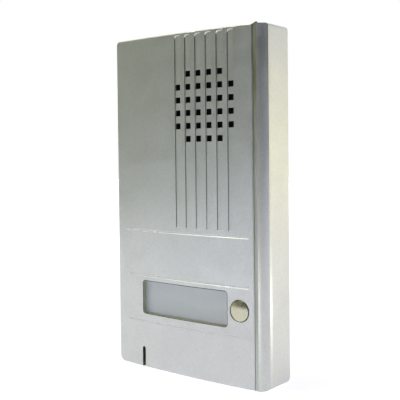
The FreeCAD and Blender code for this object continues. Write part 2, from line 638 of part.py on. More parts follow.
def make_rear_case():
    """The back plate and the rail along its right side, moulded as one, with posts and catches."""
    left = f"-{HALF_WIDTH}"
    middle = value("overall_height / 2")
    rounds = ((above(middle), "corner_top_round"), (below(middle), "corner_bottom_round"))
    back = plate("case_plate", (left, HALF_WIDTH), (PLATE, "overall_depth"), ("0", "overall_height"), rounds)
    start = face(RAIL_LEFT)
    roll_x = f"{RAIL_LEFT} + roll_width"
    roll_y = f"({start} + roll_depth)"
    edge_y = f"({roll_y} + (rail_width - roll_width) * roll_depth / roll_width * 2)"
    section = ((RAIL_LEFT, "overall_depth"), (RAIL_LEFT, start, "-roll_radius"), (roll_x, roll_y),
               (HALF_WIDTH, edge_y), (HALF_WIDTH, "overall_depth"))
    rail = prism("case_rail", "plan", section, "0", "overall_height")
    outer = value(HALF_WIDTH) - value("overrun") / 10

    def outer_corner(edge, test):
        return runs_along(edge, "y") and edge.CenterOfMass.x > outer and test(edge.CenterOfMass)
    for test, radius in rounds:
        round_edges(rail, lambda edge: outer_corner(edge, test), radius)
    shoulder = value(edge_y)
    near = value("overrun") / 100

    def rail_edge(edge):
        return runs_along(edge, "z") and abs(edge.CenterOfMass.y - shoulder) < near
    round_edges(rail, rail_edge, "rail_edge_round")
    root = f"{PLATE} + back_thickness / 2"
    ledge = box("seam_ledge", (f"{COVER_RIGHT} + strip_play", f"{RAIL_LEFT} + overrun"),
                (f"{STRIP_FRONT} + strip_depth", root), ("0", "overall_height"))
    posts = [rod(f"post_{n}", point, (BOARD_BACK, root), "post_radius")
             for n, point in enumerate(board_corners())]
    catches = []
    catch_top = "(overall_height - side_wall - lug_reach - lug_gap)"
    reach = f"{PLATE} - catch_reach"
    for number, sign in enumerate("-+"):
        catches.append(box(f"catch_{number}", catch_span(sign), (reach, root),
                           (f"{catch_top} - catch_wall", catch_top)))
        catches.append(box(f"catch_nib_{number}", catch_span(sign), (reach, f"{reach} + catch_nib"),
                           (f"{catch_top} - catch_wall / 2", f"{catch_top} + catch_nib")))
    lock = box("lock_boss", ("-lock_boss_width / 2", "lock_boss_width / 2"),
               ("lock_boss_front", root), ("side_wall + lock_gap", "lock_boss_top"))
    solid = fuse("case_solid", back, rail, ledge, *posts, *catches, lock)
    tools = []
    through = (f"{PLATE} - overrun", "overall_depth + overrun")
    straight = "(fixing_length - 2 * fixing_radius)"
    for number, (x, z) in enumerate(fixing_points()):
        tools.append(middle_box(f"fixing_{number}", (x, z), ("2 * fixing_radius", straight), through))
        tools += [rod(f"fixing_{number}_{n}", (x, f"{z} {sign} {straight} / 2"), through, "fixing_radius")
                  for n, sign in enumerate("-+")]
    tools.append(rod("entry_hole", ("-entry_x", "entry_z"), through, "entry_radius"))
    tools += [rod(f"post_pilot_{n}", point, (f"{BOARD_BACK} - overrun", root), "pilot_hole")
              for n, point in enumerate(board_corners())]
    tools.append(upright("lock_pilot", LOCK, ("side_wall", "lock_length + overrun"),
                         "lock_shank + screw_play"))
    core_right = f"({HALF_WIDTH} - rail_skin)"
    tools.append(box("rail_core", (f"{RAIL_LEFT} + rail_core_wall", core_right),
                     ("rail_core_end", "overall_depth + overrun"),
                     ("rail_core_end", "overall_height - rail_core_end")))
    tools.append(foam_frame("foam_groove", "0", "overrun"))
    return cut("rear_case", solid, *tools)


def foam_frame(name, play, extra):
    """A rectangular frame near the edge of the back face."""
    right = f"({RAIL_LEFT} - foam_rail_gap)"
    lows = (f"-{HALF_WIDTH} + foam_inset - {play}", f"foam_inset - {play}")
    highs = (f"{right} + {play}", f"overall_height - foam_inset + {play}")
    y = ("overall_depth - foam_depth", f"overall_depth + {extra}")
    outside = plate(name + "_outside", (lows[0], highs[0]), y, (lows[1], highs[1]),
                    ((lambda p: True, "foam_round"),))
    inside = box(name + "_inside", (f"{lows[0]} + foam_width", f"{highs[0]} - foam_width"),
                 ("overall_depth - foam_depth - overrun", "overall_depth + 2 * overrun"),
                 (f"{lows[1]} + foam_width", f"{highs[1]} - foam_width"))
    return cut(name, outside, inside)


def make_seam_strip():
    """The strip in the seam, whose upper end shows as a small pip above the cover."""
    left = f"{COVER_RIGHT} + strip_play"
    points = ((left, "strip_bottom"), (RAIL_LEFT, "strip_bottom"),
              (RAIL_LEFT, "overall_height + strip_pip"), (left, "overall_height"))
    return prism("seam_strip", "front", points, STRIP_FRONT, f"{STRIP_FRONT} + strip_depth")


def make_grommet():
    """The rubber bush of the cable entry, with a flange inside the case."""
    hole = "(entry_radius - grommet_play)"
    return turned("cable_grommet", ("-entry_x", "entry_z"), (
        ("grommet_bore", f"{PLATE} - grommet_lip"), ("grommet_flange", f"{PLATE} - grommet_lip"),
        ("grommet_flange", PLATE), (hole, PLATE), (hole, "overall_depth"), ("grommet_bore", "overall_depth")))


def make_cover_screw():
    """The countersunk screw that comes up through the bottom of the cover."""
    head = screw_cone("cover_screw_head", "lock_head", "lock_shank")
    shank = upright("cover_screw_shank", LOCK, ("lock_sink + lock_cone / 2", "lock_length"), "lock_shank")
    socket = upright("cover_screw_socket", LOCK, ("0", "lock_sink + lock_socket_depth"), "lock_socket")
    return cut("cover_screw", fuse("cover_screw_blank", head, shank), socket)


def make_speaker():
    """The loudspeaker behind the grille, from the dust mesh to the yoke."""
    mesh = rod("grille_mesh", SPEAKER, ("speaker_pad_face", MESH_BACK), "mesh_radius")
    seal = ring("speaker_seal", SPEAKER, (MESH_BACK, FLANGE), "speaker_radius", "seal_inner")
    floor = f"({BASKET_BACK} - basket_wall)"
    frame = turned("speaker_frame", SPEAKER, (
        ("flange_inner", FLANGE), ("speaker_radius", FLANGE), ("speaker_radius", FLANGE_BACK),
        ("basket_radius", FLANGE_BACK), ("basket_floor", BASKET_BACK), ("basket_eye", BASKET_BACK),
        ("basket_eye", floor), ("basket_floor - basket_wall", floor), ("flange_inner", FLANGE_BACK)))
    top = ring("pole_plate", SPEAKER, (BASKET_BACK, POLE_BACK), "magnet_radius", "pole_eye")
    magnet = ring("speaker_magnet", SPEAKER, (POLE_BACK, MAGNET_BACK), "magnet_radius", "magnet_eye")
    disc = rod("yoke_disc", SPEAKER, (MAGNET_BACK, f"{MAGNET_BACK} + yoke_thickness"), "yoke_radius")
    pole = rod("yoke_pole", SPEAKER, (BASKET_BACK, f"{MAGNET_BACK} + yoke_thickness / 2"), "pole_radius")
    yoke = fuse("speaker_yoke", disc, pole)
    coil = ring("voice_coil", SPEAKER, (COIL_FRONT, f"{COIL_FRONT} + coil_length"), COIL_OUTER,
                COIL_INNER)
    cone = turned("speaker_cone", SPEAKER, (
        (COIL_INNER, CONE_NECK), ("cone_radius", CONE_FRONT),
        ("cone_radius", f"{CONE_FRONT} + cone_thickness"), (COIL_OUTER, COIL_FRONT),
        (COIL_INNER, COIL_FRONT)))
    slope = f"(cone_drop / (cone_radius - {COIL_INNER}))"
    cap_edge = f"({CONE_NECK} - (cap_radius - {COIL_INNER}) * {slope})"
    dome = "((cap_radius ^ 2 + cap_rise ^ 2) / (2 * cap_rise))"
    inner = f"({dome} - surround_skin)"
    inner_edge = f"sqrt({inner} ^ 2 - ({dome} - cap_rise) ^ 2)"
    cap = turned("dust_cap", SPEAKER, (
        ("0", f"{cap_edge} - cap_rise"), ("0", f"{cap_edge} - cap_rise + surround_skin", inner),
        (inner_edge, cap_edge), ("cap_radius", cap_edge, f"-{dome}")))
    lip = "(seal_inner - (seal_inner - flange_inner) / 6)"
    crest = f"({FLANGE} - surround_skin)"
    roll = f"({lip} - cone_radius)"
    surround = turned("cone_surround", SPEAKER, (
        (f"cone_radius - {roll} / 4", f"{CONE_FRONT} - surround_skin"),
        (f"cone_radius + {roll} / 4", crest),
        (lip, crest), (lip, FLANGE), (f"cone_radius + {roll} / 4", FLANGE),
        (f"cone_radius - {roll} / 8", CONE_FRONT), (f"cone_radius - {roll} / 4", CONE_FRONT)))
    tab_z = "(speaker_z - tab_drop)"
    tab = box("tab_board", ("speaker_x - tab_width / 2", "speaker_x + tab_width / 2"),
              (FLANGE_BACK, f"{FLANGE_BACK} + tab_thickness"), (tab_z, f"{tab_z} + tab_height"))
    pin_y = (f"{FLANGE_BACK} + tab_thickness / 2", f"{FLANGE_BACK} + tab_thickness + tab_pin")
    pins = [rod(f"tab_pin_{n}", (f"speaker_x {sign} tab_pitch / 2", f"{tab_z} + tab_height / 2"), pin_y,
                "wire_radius") for n, sign in enumerate("-+")]
    tabs = fuse("speaker_terminals", tab, *pins)
    return [mesh, seal, frame, top, magnet, yoke, coil, cone, cap, surround, tabs]


def make_clamps():
    """Three small plates that hold the loudspeaker's flange, and their screws."""
    clamps = []
    screws = []
    for number, angle in enumerate(CLAMP_ANGLES):
        turn = math.radians(angle)
        across_x = f"- (clamp_width / 2) * {-math.sin(turn):.9f}"
        across_z = f"- (clamp_width / 2) * {math.cos(turn):.9f}"
        start = clamp_point(angle, "clamp_start")
        bar = doc.addObject("Part::Box", f"clamp_{number}_bar")
        bar.Placement.Rotation = FreeCAD.Rotation(FreeCAD.Vector(0, 1, 0), -angle)
        bind(bar, {"Length": "clamp_radius + clamp_end - clamp_start", "Width": "clamp_thickness",
                   "Height": "clamp_width",
                   **at(f"{start[0]} {across_x}", FLANGE_BACK, f"{start[1]} {across_z}")})
        centre = clamp_point(angle, "clamp_radius")
        back = f"{FLANGE_BACK} + clamp_thickness"
        hole = rod(f"clamp_{number}_hole", centre, (f"{FLANGE_BACK} - overrun", f"{back} + overrun"),
                   "clearance_hole")
        clamps.append(cut(f"clamp_{number}", bar, hole))
        screws.append(cover_side_screw(f"clamp_screw_{number}", centre, back))
    return group("speaker_clamps", clamps), group("clamp_screws", screws)


def cover_side_screw(name, centre, head):
    """A screw that points forward into the cover, with its slotted head at the back."""
    back = f"({head} + screw_head_height)"
    solid = fuse(name + "_blank", rod(name + "_head", centre, (head, back), "screw_head"),
                 rod(name + "_shank", centre, (f"{head} - screw_length", head), "screw_shank"))
    slot = middle_box(name + "_slot", centre, ("3 * screw_head", "screw_slot"),
                      (f"{back} - screw_slot_depth", f"{back} + overrun"))
    return cut(name, solid, slot)


def make_microphone():
    """The microphone capsule and its rubber boot, behind the slot at the lower left."""
    boot = "(mic_radius + boot_wall)"
    back = "(boot_front + boot_length)"
    floor = "(boot_front + boot_skin)"
    bore = "(mic_radius + mic_play)"
    sleeve = turned("microphone_boot", MICROPHONE, (
        ("mic_hole", "boot_front"), (boot, "boot_front"), (boot, back), (bore, back), (bore, floor),
        ("mic_hole", floor)))
    capsule = rod("microphone_capsule", MICROPHONE, (floor, f"{floor} + mic_height"), "mic_radius")
    return [sleeve, capsule]


def make_call_button():
    """The domed metal button with its hollow skirt and its stem."""
    top = f"({face('button_x')} - button_proud)"
    rise = f"(button_edge - {top})"
    crown = f"((button_radius ^ 2 + {rise} ^ 2) / (2 * {rise}))"
    inside = f"({top} + button_crown)"
    hollow = "(button_radius - button_wall)"
    return turned("call_button", BUTTON, (
        ("0", top), ("0", STEM_END), ("stem_radius", STEM_END), ("stem_radius", inside),
        (hollow, inside), (hollow, "button_skirt_end"), ("button_radius", "button_skirt_end"),
        ("button_radius", "button_edge", f"-{crown}")))


def make_button_guide():
    """The cup that guides the button, with two ears for its screws."""
    bore = "(button_radius + running_play)"
    plate_front = "(guide_end - guide_plate)"
    hole = "(stem_radius + running_play)"
    cup = turned("guide_cup", BUTTON, (
        ("guide_radius", "guide_front"), ("guide_radius", "guide_end"), (hole, "guide_end"),
        (hole, plate_front), (bore, plate_front), (bore, "guide_front")))
    reach = "(ear_reach + boss_radius)"
    ears = box("guide_ears", ("button_x - ear_width / 2", "button_x + ear_width / 2"),
               ("guide_end - ear_thickness", "guide_end"), (f"button_z - {reach}", f"button_z + {reach}"))
    inner = rod("guide_ear_bore", BUTTON, ("0", plate_front), bore)
    stem = rod("guide_stem_bore", BUTTON, ("0", "guide_end + overrun"), hole)
    holes = [rod(f"guide_ear_hole_{n}", ("button_x", f"button_z {sign} ear_reach"),
                 ("guide_end - ear_thickness - overrun", "guide_end + overrun"), "clearance_hole")
             for n, sign in enumerate("-+")]
    guide = cut("button_guide", fuse("guide_blank", cup, ears), inner, stem, *holes)
    screws = [cover_side_screw(f"guide_screw_{n}", ("button_x", f"button_z {sign} ear_reach"), "guide_end")
              for n, sign in enumerate("-+")]
    return guide, group("guide_screws", screws)


def make_button_spring():
    """The coil spring between the button's crown and the floor of its guide."""
    top = f"({face('button_x')} - button_proud + button_crown)"
    room = f"(guide_end - guide_plate - {top})"
    helix = doc.addObject("Part::Helix", "spring_line")
    bind(helix, {"Radius": "spring_radius", "Height": f"{room} - spring_wire - 2 * spring_play",
                 "Pitch": f"{room} / 4"})
    wire = doc.addObject("Part::Circle", "spring_section")
    wire.Placement.Rotation = FreeCAD.Rotation(FreeCAD.Vector(1, 0, 0), 90)
    bind(wire, {"Radius": "spring_wire / 2", "Placement.Base.x": "spring_radius"})
    doc.recompute()
    spring = doc.addObject("Part::Sweep", "button_spring")
    spring.Sections = [wire]
    spring.Spine = (helix, [f"Edge{n + 1}" for n in range(len(helix.Shape.Edges))])
    spring.Solid = True
    spring.Frenet = True
    spring.Placement.Rotation = FreeCAD.Rotation(FreeCAD.Vector(1, 0, 0), -90)
    return bind(spring, at(BUTTON[0], f"{top} + spring_play + spring_wire / 2", BUTTON[1]))


def make_snap_ring():
    """The ring on the stem that stops the button from falling out."""
    return ring("snap_ring", BUTTON, ("guide_end + clip_gap", "guide_end + clip_gap + clip_thickness"),
                "clip_radius", "stem_radius")


def make_switch():
    """The push switch on the board and its plunger."""
    size = ("switch_width", "switch_width")
    well = rod("switch_well", BUTTON, (f"{SWITCH_FRONT} - overrun", f"{SWITCH_FRONT} + plunger_well"),
               "plunger_radius + running_play")
    body = cut("switch_body", middle_box("switch_block", BUTTON, size, (SWITCH_FRONT, BOARD)), well)
    plunger = rod("switch_plunger", BUTTON, (PLUNGER_FRONT, f"{SWITCH_FRONT} + plunger_root"),
                  "plunger_radius")
    return body, plunger


def make_window_parts():
    """The clear window, the card behind it and the tray that holds both."""
    lip_x = ("-window_left - lens_lip", "window_right + lens_side_lip")
    lip_z = ("window_bottom - lens_lip", "window_top + lens_lip")
    flange = box("lens_flange_plate", lip_x, ("window_seat", LENS_BACK), lip_z)
    raised = plate("lens_raised", ("-window_left + window_play", "window_right - window_play"),
                   ("lens_recess", "window_seat + lens_flange / 2"),
                   ("window_bottom + window_play", "window_top - window_play"),
                   ((lambda p: True, "window_round"),))
    lens = fuse("name_lens", flange, raised)
    card = box("name_card", (f"{lip_x[0]} + card_margin", f"{lip_x[1]} - card_margin"),
               (LENS_BACK, CARD_BACK), (f"{lip_z[0]} + card_margin", f"{lip_z[1]} - card_margin"))
    block = box("tray_block", lip_x, (CARD_BACK, f"{TRAY_BACK} + tray_rim"), lip_z)
    hollow = box("tray_hollow", (f"{lip_x[0]} + tray_rim_width", f"{lip_x[1]} - tray_rim_width"),
                 (TRAY_BACK, f"{TRAY_BACK} + tray_rim + overrun"),
                 (f"{lip_z[0]} - overrun", f"{lip_z[1]} + overrun"))
    tray = cut("card_tray", block, hollow)
    return lens, card, tray


def make_board():
    """The circuit board and the four screws that hold it on its posts."""
    slab = box("board_slab", (BOARD_LEFT, BOARD_RIGHT), (BOARD, BOARD_BACK), ("board_bottom", BOARD_TOP))
    through = (f"{BOARD} - overrun", f"{BOARD_BACK} + overrun")
    holes = [rod(f"board_hole_{n}", point, through, "board_hole") for n, point in enumerate(board_corners())]
    board = cut("circuit_board", slab, *holes)
    screws = [slotted_screw(f"board_screw_{n}", point, BOARD, f"{BOARD_BACK} + board_screw_length",
                            "board_screw_shank", "board_screw_head", "board_screw_rise")
              for n, point in enumerate(board_corners())]
    return board, group("board_screws", screws)


def make_terminals():
    """The block of wire terminals at the top left of the board, and its screws."""
    left = TERMINAL_LEFT
    top = f"({BOARD_TOP} - terminal_drop)"
    bottom = f"({top} - terminal_depth)"
    front = f"({face(TERMINAL_LEFT)} + face_wall + terminal_room)"
    block = box("terminal_blank", (left, f"{left} + {TERMINALS} * terminal_pitch"), (front, BOARD),
                (bottom, top))
    mouth_y = (f"{BOARD} - terminal_mouth_lift - terminal_mouth", f"{BOARD} - terminal_mouth_lift")
    mouth_z = (f"{top} - terminal_mouth_depth", f"{top} + overrun")
    head = f"({front} + terminal_screw_sink)"
    end = f"({front} + terminal_screw_rise)"
    tools = []
    screws = []
    for number in range(TERMINALS):
        x = f"({left} + {number + 0.5} * terminal_pitch)"
        mouth_x = (f"{x} - terminal_mouth / 2", f"{x} + terminal_mouth / 2")
        tools.append(box(f"terminal_mouth_{number}", mouth_x, mouth_y, mouth_z))
        centre = (x, f"{bottom} + terminal_depth / 2")
        name = f"terminal_screw_{number}"
        tools.append(rod(name + "_bore", centre, (f"{front} - overrun", end),
                         "terminal_screw_radius + screw_play"))
        screw = rod(name + "_blank", centre, (head, end), "terminal_screw_radius")
        slot = middle_box(name + "_slot", centre, ("3 * terminal_screw_radius", "screw_slot"),
                          (f"{head} - overrun", f"{head} + screw_slot_depth"))
        screws.append(cut(name, screw, slot))
    return cut("terminal_block", block, *tools), group("terminal_screws", screws)


def make_trimmer(name, share):
    """A preset control: a square body and the slotted rotor that turns in it."""
    centre = board_place(share)
    front = f"({BOARD} - trimmer_height)"
    size = ("trimmer_width", "trimmer_width")
    well = rod(name + "_well", centre, (f"{front} - overrun", f"{front} + rotor_well"),
               "rotor_radius + rotor_play")
    body = cut(name + "_trimmer", middle_box(name + "_block", centre, size, (front, BOARD)), well)
    top = f"({front} - rotor_rise)"
    blank = rod(name + "_rotor_blank", centre, (top, f"{front} + rotor_well - rotor_play"),
                "rotor_radius")
    slot = middle_box(name + "_rotor_slot", centre, ("rotor_slot", "3 * rotor_radius"),
                      (f"{top} - overrun", f"{top} + rotor_slot_depth"))
    return body, cut(name + "_rotor", blank, slot)


def make_chips():
    """Two amplifier chips, each with four legs a side."""
    chips = []
    back = f"({BOARD} - chip_lift)"
    bend = f"{back} - chip_pin_top"
    for number, share in enumerate(CHIP_SHARES):
        x, z = board_place(share)
        solids = [middle_box(f"chip_{number}_body", (x, z), ("chip_width", "chip_length"),
                             (f"{back} - chip_height", back))]
        for side, sign in enumerate("-+"):
            arm = f"({x} {sign} (chip_width / 2 + chip_pin_reach / 2 - chip_pin / 2))"
            foot = f"({x} {sign} (chip_width / 2 + chip_pin_reach - chip_pin / 2))"
            for row in range(4):
                level = f"({z} + {row - 1.5} * chip_pin_pitch)"
                leg = f"chip_{number}_leg_{side}_{row}"
                solids.append(middle_box(leg + "_arm", (arm, level),
                                         ("chip_pin_reach + chip_pin", "chip_pin"),
                                         (bend, f"{bend} + chip_pin")))
                solids.append(middle_box(leg + "_foot", (foot, level), ("chip_pin", "chip_pin"),
                                         (bend, BOARD)))
        chips.append(fuse(f"chip_{number}", *solids))
    return group("amplifier_chips", chips)


def make_capacitors():
    """Electrolytic cans with their rolled groove and scored top."""
    cans = []
    for number, share in enumerate(CAPACITOR_SHARES):
        centre = board_place(share)
        front = f"({BOARD} - capacitor_height)"
        can = rod(f"capacitor_{number}_can", centre, (front, BOARD), "capacitor_radius")
        bead_y = (f"{BOARD} - 6 * capacitor_bead", f"{BOARD} - 4 * capacitor_bead")
        bead = ring(f"capacitor_{number}_bead", centre, bead_y, "capacitor_radius + overrun",
                    "capacitor_radius - capacitor_bead")
        vent_y = (f"{front} - overrun", f"{front} + capacitor_vent")
        vents = [middle_box(f"capacitor_{number}_vent_{n}", centre, size, vent_y)
                 for n, size in enumerate((("capacitor_radius", "capacitor_vent"),
                                           ("capacitor_vent", "capacitor_radius")))]
        cans.append(cut(f"capacitor_{number}", can, bead, *vents))
    return group("electrolytic_capacitors", cans)


def make_film_capacitors():
    """Small block capacitors."""
    blocks = []
    for number, share in enumerate(FILM_SHARES):
        x, z = board_place(share)
        span = (f"{x} - film_width / 2", f"{x} + film_width / 2")
        blocks.append(plate(f"film_{number}", span, (f"{BOARD} - film_height", BOARD),
                            (f"{z} - film_thickness / 2", f"{z} + film_thickness / 2"),
                            ((lambda p: True, "capacitor_vent"),)))
    return group("film_capacitors", blocks)


def axial(name, share, radius, length):
    """A resistor or diode that lies on the board, with its bent leads."""
    x, z = board_place(share)
    y = f"({BOARD} - axial_lift)"
    half = "lead_span / 2"
    body = across(name + "_body", (f"{x} - {length} / 2", f"{x} + {length} / 2"), y, z, radius)
    lead = across(name + "_lead", (f"{x} - {half}", f"{x} + {half}"), y, z, "lead_radius")
    legs = [rod(f"{name}_leg_{n}", (f"{x} {sign} {half}", z), (f"{y} - leg_radius", BOARD), "leg_radius")
            for n, sign in enumerate("-+")]
    return fuse(name, body, lead, *legs)


def make_transformer():
    """The line transformer: an iron core round a wound bobbin."""
    centre = board_place(TRANSFORMER_SHARE)
    x, z = centre
    front = f"({BOARD} - core_depth)"
    window = "(core_width / 2 - core_leg)"
    core = middle_box("core_block", centre, ("core_width", "core_height"), (front, BOARD))
    sides = []
    for number, sign in enumerate("-+"):
        middle = f"({x} {sign} {window} / 2)"
        sides.append(middle_box(f"core_window_{number}", (middle, z), (window, "core_height - core_leg"),
                                (f"{front} - overrun", f"{BOARD} + overrun")))
    iron = cut("transformer_core", core, *sides)
    winding = middle_box("transformer_winding", centre,
                         ("core_width - 2 * core_leg - winding_gap", "core_height - core_leg - winding_gap"),
                         (f"{front} + core_leg / 4", f"{BOARD} - core_leg / 4"))
    return iron, winding


def make_headers():
    """The plugs on the board for the loudspeaker's and the microphone's leads."""
    top = f"({BOARD_TOP} - header_edge)"
    speaker = box("speaker_plug", ("speaker_x - header_width / 2", "speaker_x + header_width / 2"),
                  (f"{BOARD} - header_depth", BOARD), (f"{top} - header_height", top))
    low = "(board_bottom + mic_header_lift)"
    microphone = box("microphone_plug", ("-mic_x - mic_header_width / 2", "-mic_x + mic_header_width / 2"),
                     (f"{BOARD} - header_depth", BOARD), (low, f"{low} + mic_header_height"))
    return group("lead_plugs", [speaker, microphone])


def make_lamps():
    """The two small lamps that light the name card from behind."""
    lamps = []
    for number, sign in enumerate("-+"):
        centre = (f"(window_right - window_left) / 2 {sign} lamp_spread", "button_z")
        front = f"({BOARD} - lamp_height)"
        barrel = rod(f"lamp_{number}_barrel", centre, (f"{front} + lamp_radius", BOARD), "lamp_radius")
        base = rod(f"lamp_{number}_base", centre, (f"{BOARD} - lamp_base_height", BOARD), "lamp_base")
        dome = doc.addObject("Part::Sphere", f"lamp_{number}_dome")
        bind(dome, {"Radius": "lamp_radius", **at(centre[0], f"{front} + lamp_radius", centre[1])})
        lamps.append(fuse(f"lamp_{number}", barrel, base, dome))
    return group("lamps", lamps)


def elbow(name, x, front, corner, end):
    """A wire that runs back from a front end, turns in one round bend and runs up or down."""
    y, z = corner
    rises = value(end) > value(z)
    way = "+" if rises else "-"
    inner = (f"({y} - wire_bend)", f"({z} {way} wire_bend)")
    run = rod(name + "_run", (x, z), (front, inner[0]), "wire_radius")
    rise = upright(name + "_rise", (x, y), (inner[1], end) if rises else (end, inner[1]), "wire_radius")
    bend = doc.addObject("Part::Torus", name + "_bend")
    bend.Angle3 = 90
    axis, turn = (FreeCAD.Vector(0, 1, 0), 90) if rises else (FreeCAD.Vector(1, 1, 1), 120)
    bend.Placement.Rotation = FreeCAD.Rotation(axis, turn)
    bind(bend, {"Radius1": "wire_bend", "Radius2": "wire_radius", **at(x, *inner)})
    return fuse(name, run, bend, rise)


def make_leads():
    """The loudspeaker's and the microphone's leads, held at both ends."""
    pins = f"{FLANGE_BACK} + tab_thickness + tab_pin"
    tabs = (f"({BOARD} - wire_lift)", "(speaker_z - tab_drop + tab_height / 2)")
    capsule = "boot_front + boot_skin + mic_height"
    speaker = []
    microphone = []
    for number, sign in enumerate("-+"):
        speaker.append(elbow(f"speaker_lead_{number}", f"speaker_x {sign} tab_pitch / 2", pins, tabs,
                             f"{BOARD_TOP} - header_edge"))
        microphone.append(elbow(f"microphone_lead_{number}", f"-mic_x {sign} mic_wire_spacing / 2",
                                capsule, (f"({BOARD} - mic_wire_lift)", "mic_z"),
                                "board_bottom + mic_header_lift"))
    return group("speaker_leads", speaker), group("microphone_leads", microphone)


def make_pieces():
    """All pieces of the intercom, each under the name of its file."""
    pieces = [make_front_cover(), make_rear_case(), make_seam_strip(), foam_frame("wall_seal", "0", "0"),
              make_grommet(), make_cover_screw()]
    pieces += make_speaker()
    pieces += make_clamps()
    pieces += make_microphone()
    pieces.append(make_call_button())
    pieces += make_button_guide()
    pieces += [make_button_spring(), make_snap_ring()]
    pieces += make_switch()
    pieces += make_window_parts()
    pieces += make_board()
    pieces += make_terminals()
    pieces += make_trimmer("volume", VOLUME_SHARE)
    pieces += make_trimmer("microphone", MICROPHONE_SHARE)
    pieces += [make_chips(), make_capacitors(), make_film_capacitors()]
    pieces.append(group("resistors", [axial(f"resistor_{n}", share, "resistor_radius", "resistor_length")
                                      for n, share in enumerate(RESISTOR_SHARES)]))
    pieces.append(group("diodes", [axial(f"diode_{n}", share, "diode_radius", "diode_length")
                                   for n, share in enumerate(DIODE_SHARES)]))
    pieces += make_transformer()
    pieces += [make_headers(), make_lamps()]
    pieces += make_leads()
    return pieces


def stand(piece):
    """Place a finished piece so that the origin lies half way through the depth."""
    links = dict(piece.ExpressionEngine)
    held = [text for path, text in links.items() if path.endswith("Placement.Base.y")]
    base = held[0] if held else "0"
    piece.setExpression("Placement.Base.y", f"{base} - {cells('overall_depth / 2')}")


pieces = make_pieces()
doc.recompute()
for piece in pieces:
    stand(piece)
doc.recompute()

for item in doc.Objects:
    faults = [state for state in item.State if state in ("Invalid", "Error")]
    assert not faults, f"{item.Label}: {faults}"
for piece in pieces:
    assert not piece.Shape.isNull() and piece.Shape.isValid(), f"{piece.Label}: bad shape"

os.makedirs("parts", exist_ok=True)
for piece in pieces:
    piece.Shape.exportStep(f"parts/{piece.Label}.step")
    print(piece.Label, len(piece.Shape.Solids), round(piece.Shape.Volume, 2))
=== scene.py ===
"""Wall-mounted door intercom station: its visible pieces and finishes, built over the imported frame."""
import logging
import math
from collections.abc import Callable, Sequence
from dataclasses import dataclass
from enum import Enum

import bmesh
import bpy
from mathutils import Matrix, Vector


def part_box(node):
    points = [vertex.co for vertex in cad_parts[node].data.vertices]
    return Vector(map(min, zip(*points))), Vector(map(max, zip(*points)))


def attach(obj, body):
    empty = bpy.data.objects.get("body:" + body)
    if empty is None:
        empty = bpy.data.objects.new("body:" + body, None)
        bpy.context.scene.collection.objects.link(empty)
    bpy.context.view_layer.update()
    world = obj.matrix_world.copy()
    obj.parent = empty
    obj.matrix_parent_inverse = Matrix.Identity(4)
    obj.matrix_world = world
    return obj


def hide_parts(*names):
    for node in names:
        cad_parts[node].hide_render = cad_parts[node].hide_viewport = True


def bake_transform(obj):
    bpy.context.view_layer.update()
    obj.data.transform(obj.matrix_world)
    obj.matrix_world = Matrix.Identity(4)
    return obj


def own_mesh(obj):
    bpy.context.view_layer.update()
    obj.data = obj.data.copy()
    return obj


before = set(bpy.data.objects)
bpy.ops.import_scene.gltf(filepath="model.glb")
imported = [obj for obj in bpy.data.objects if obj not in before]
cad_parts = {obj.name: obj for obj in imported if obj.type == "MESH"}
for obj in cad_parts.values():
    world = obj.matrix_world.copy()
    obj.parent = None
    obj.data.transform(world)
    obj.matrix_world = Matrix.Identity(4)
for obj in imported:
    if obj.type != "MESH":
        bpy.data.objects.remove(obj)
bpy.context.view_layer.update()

log = logging.getLogger("intercom")

# Lengths are in millimetres unless a name or docstring says otherwise.
MM = 0.001
HALF_WIDTH = 49.0
FACE_SAG = 2.2
FACE_RADIUS = (HALF_WIDTH ** 2 + FACE_SAG ** 2) / (2 * FACE_SAG)
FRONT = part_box("front_cover")[0].y
SKIN = 0.05
HAIR = 0.01
QUARTER = math.pi / 2

Triple = tuple[float, float, float]
Colour = Triple
Span = tuple[float, float]
Ring = list[Vector]

FULL: Span = (0.0, 1.0)
NOISE: Span = (0.3, 0.7)
CLOUDS: Span = (0.35, 0.65)
CELLS: Span = (0.1, 0.9)
EVEN: Triple = (1.0, 1.0, 1.0)


class Way(Enum):
    """How one solid works on another."""

    TAKE_AWAY = "DIFFERENCE"
    KEEP_SHARED = "INTERSECT"
    ADD = "UNION"


def bulge(x: float) -> float:
    """Depth of the bulged face at a distance from the middle.

    Args:
        x: Distance to the right of the middle.

    Returns:
        Depth behind the foremost line of the face.
    """
    return FACE_RADIUS - math.sqrt(FACE_RADIUS ** 2 - x * x)


def place(x: float, depth: float, z: float) -> Vector:
    """Turn millimetres right, back from the face and up into a point of the frame.

    Args:
        x: Distance to the right of the middle.
        depth: Distance behind the foremost line of the face.
        z: Height above the lower edge.

    Returns:
        The point in metres.
    """
    return Vector((x * MM, FRONT + depth * MM, z * MM))


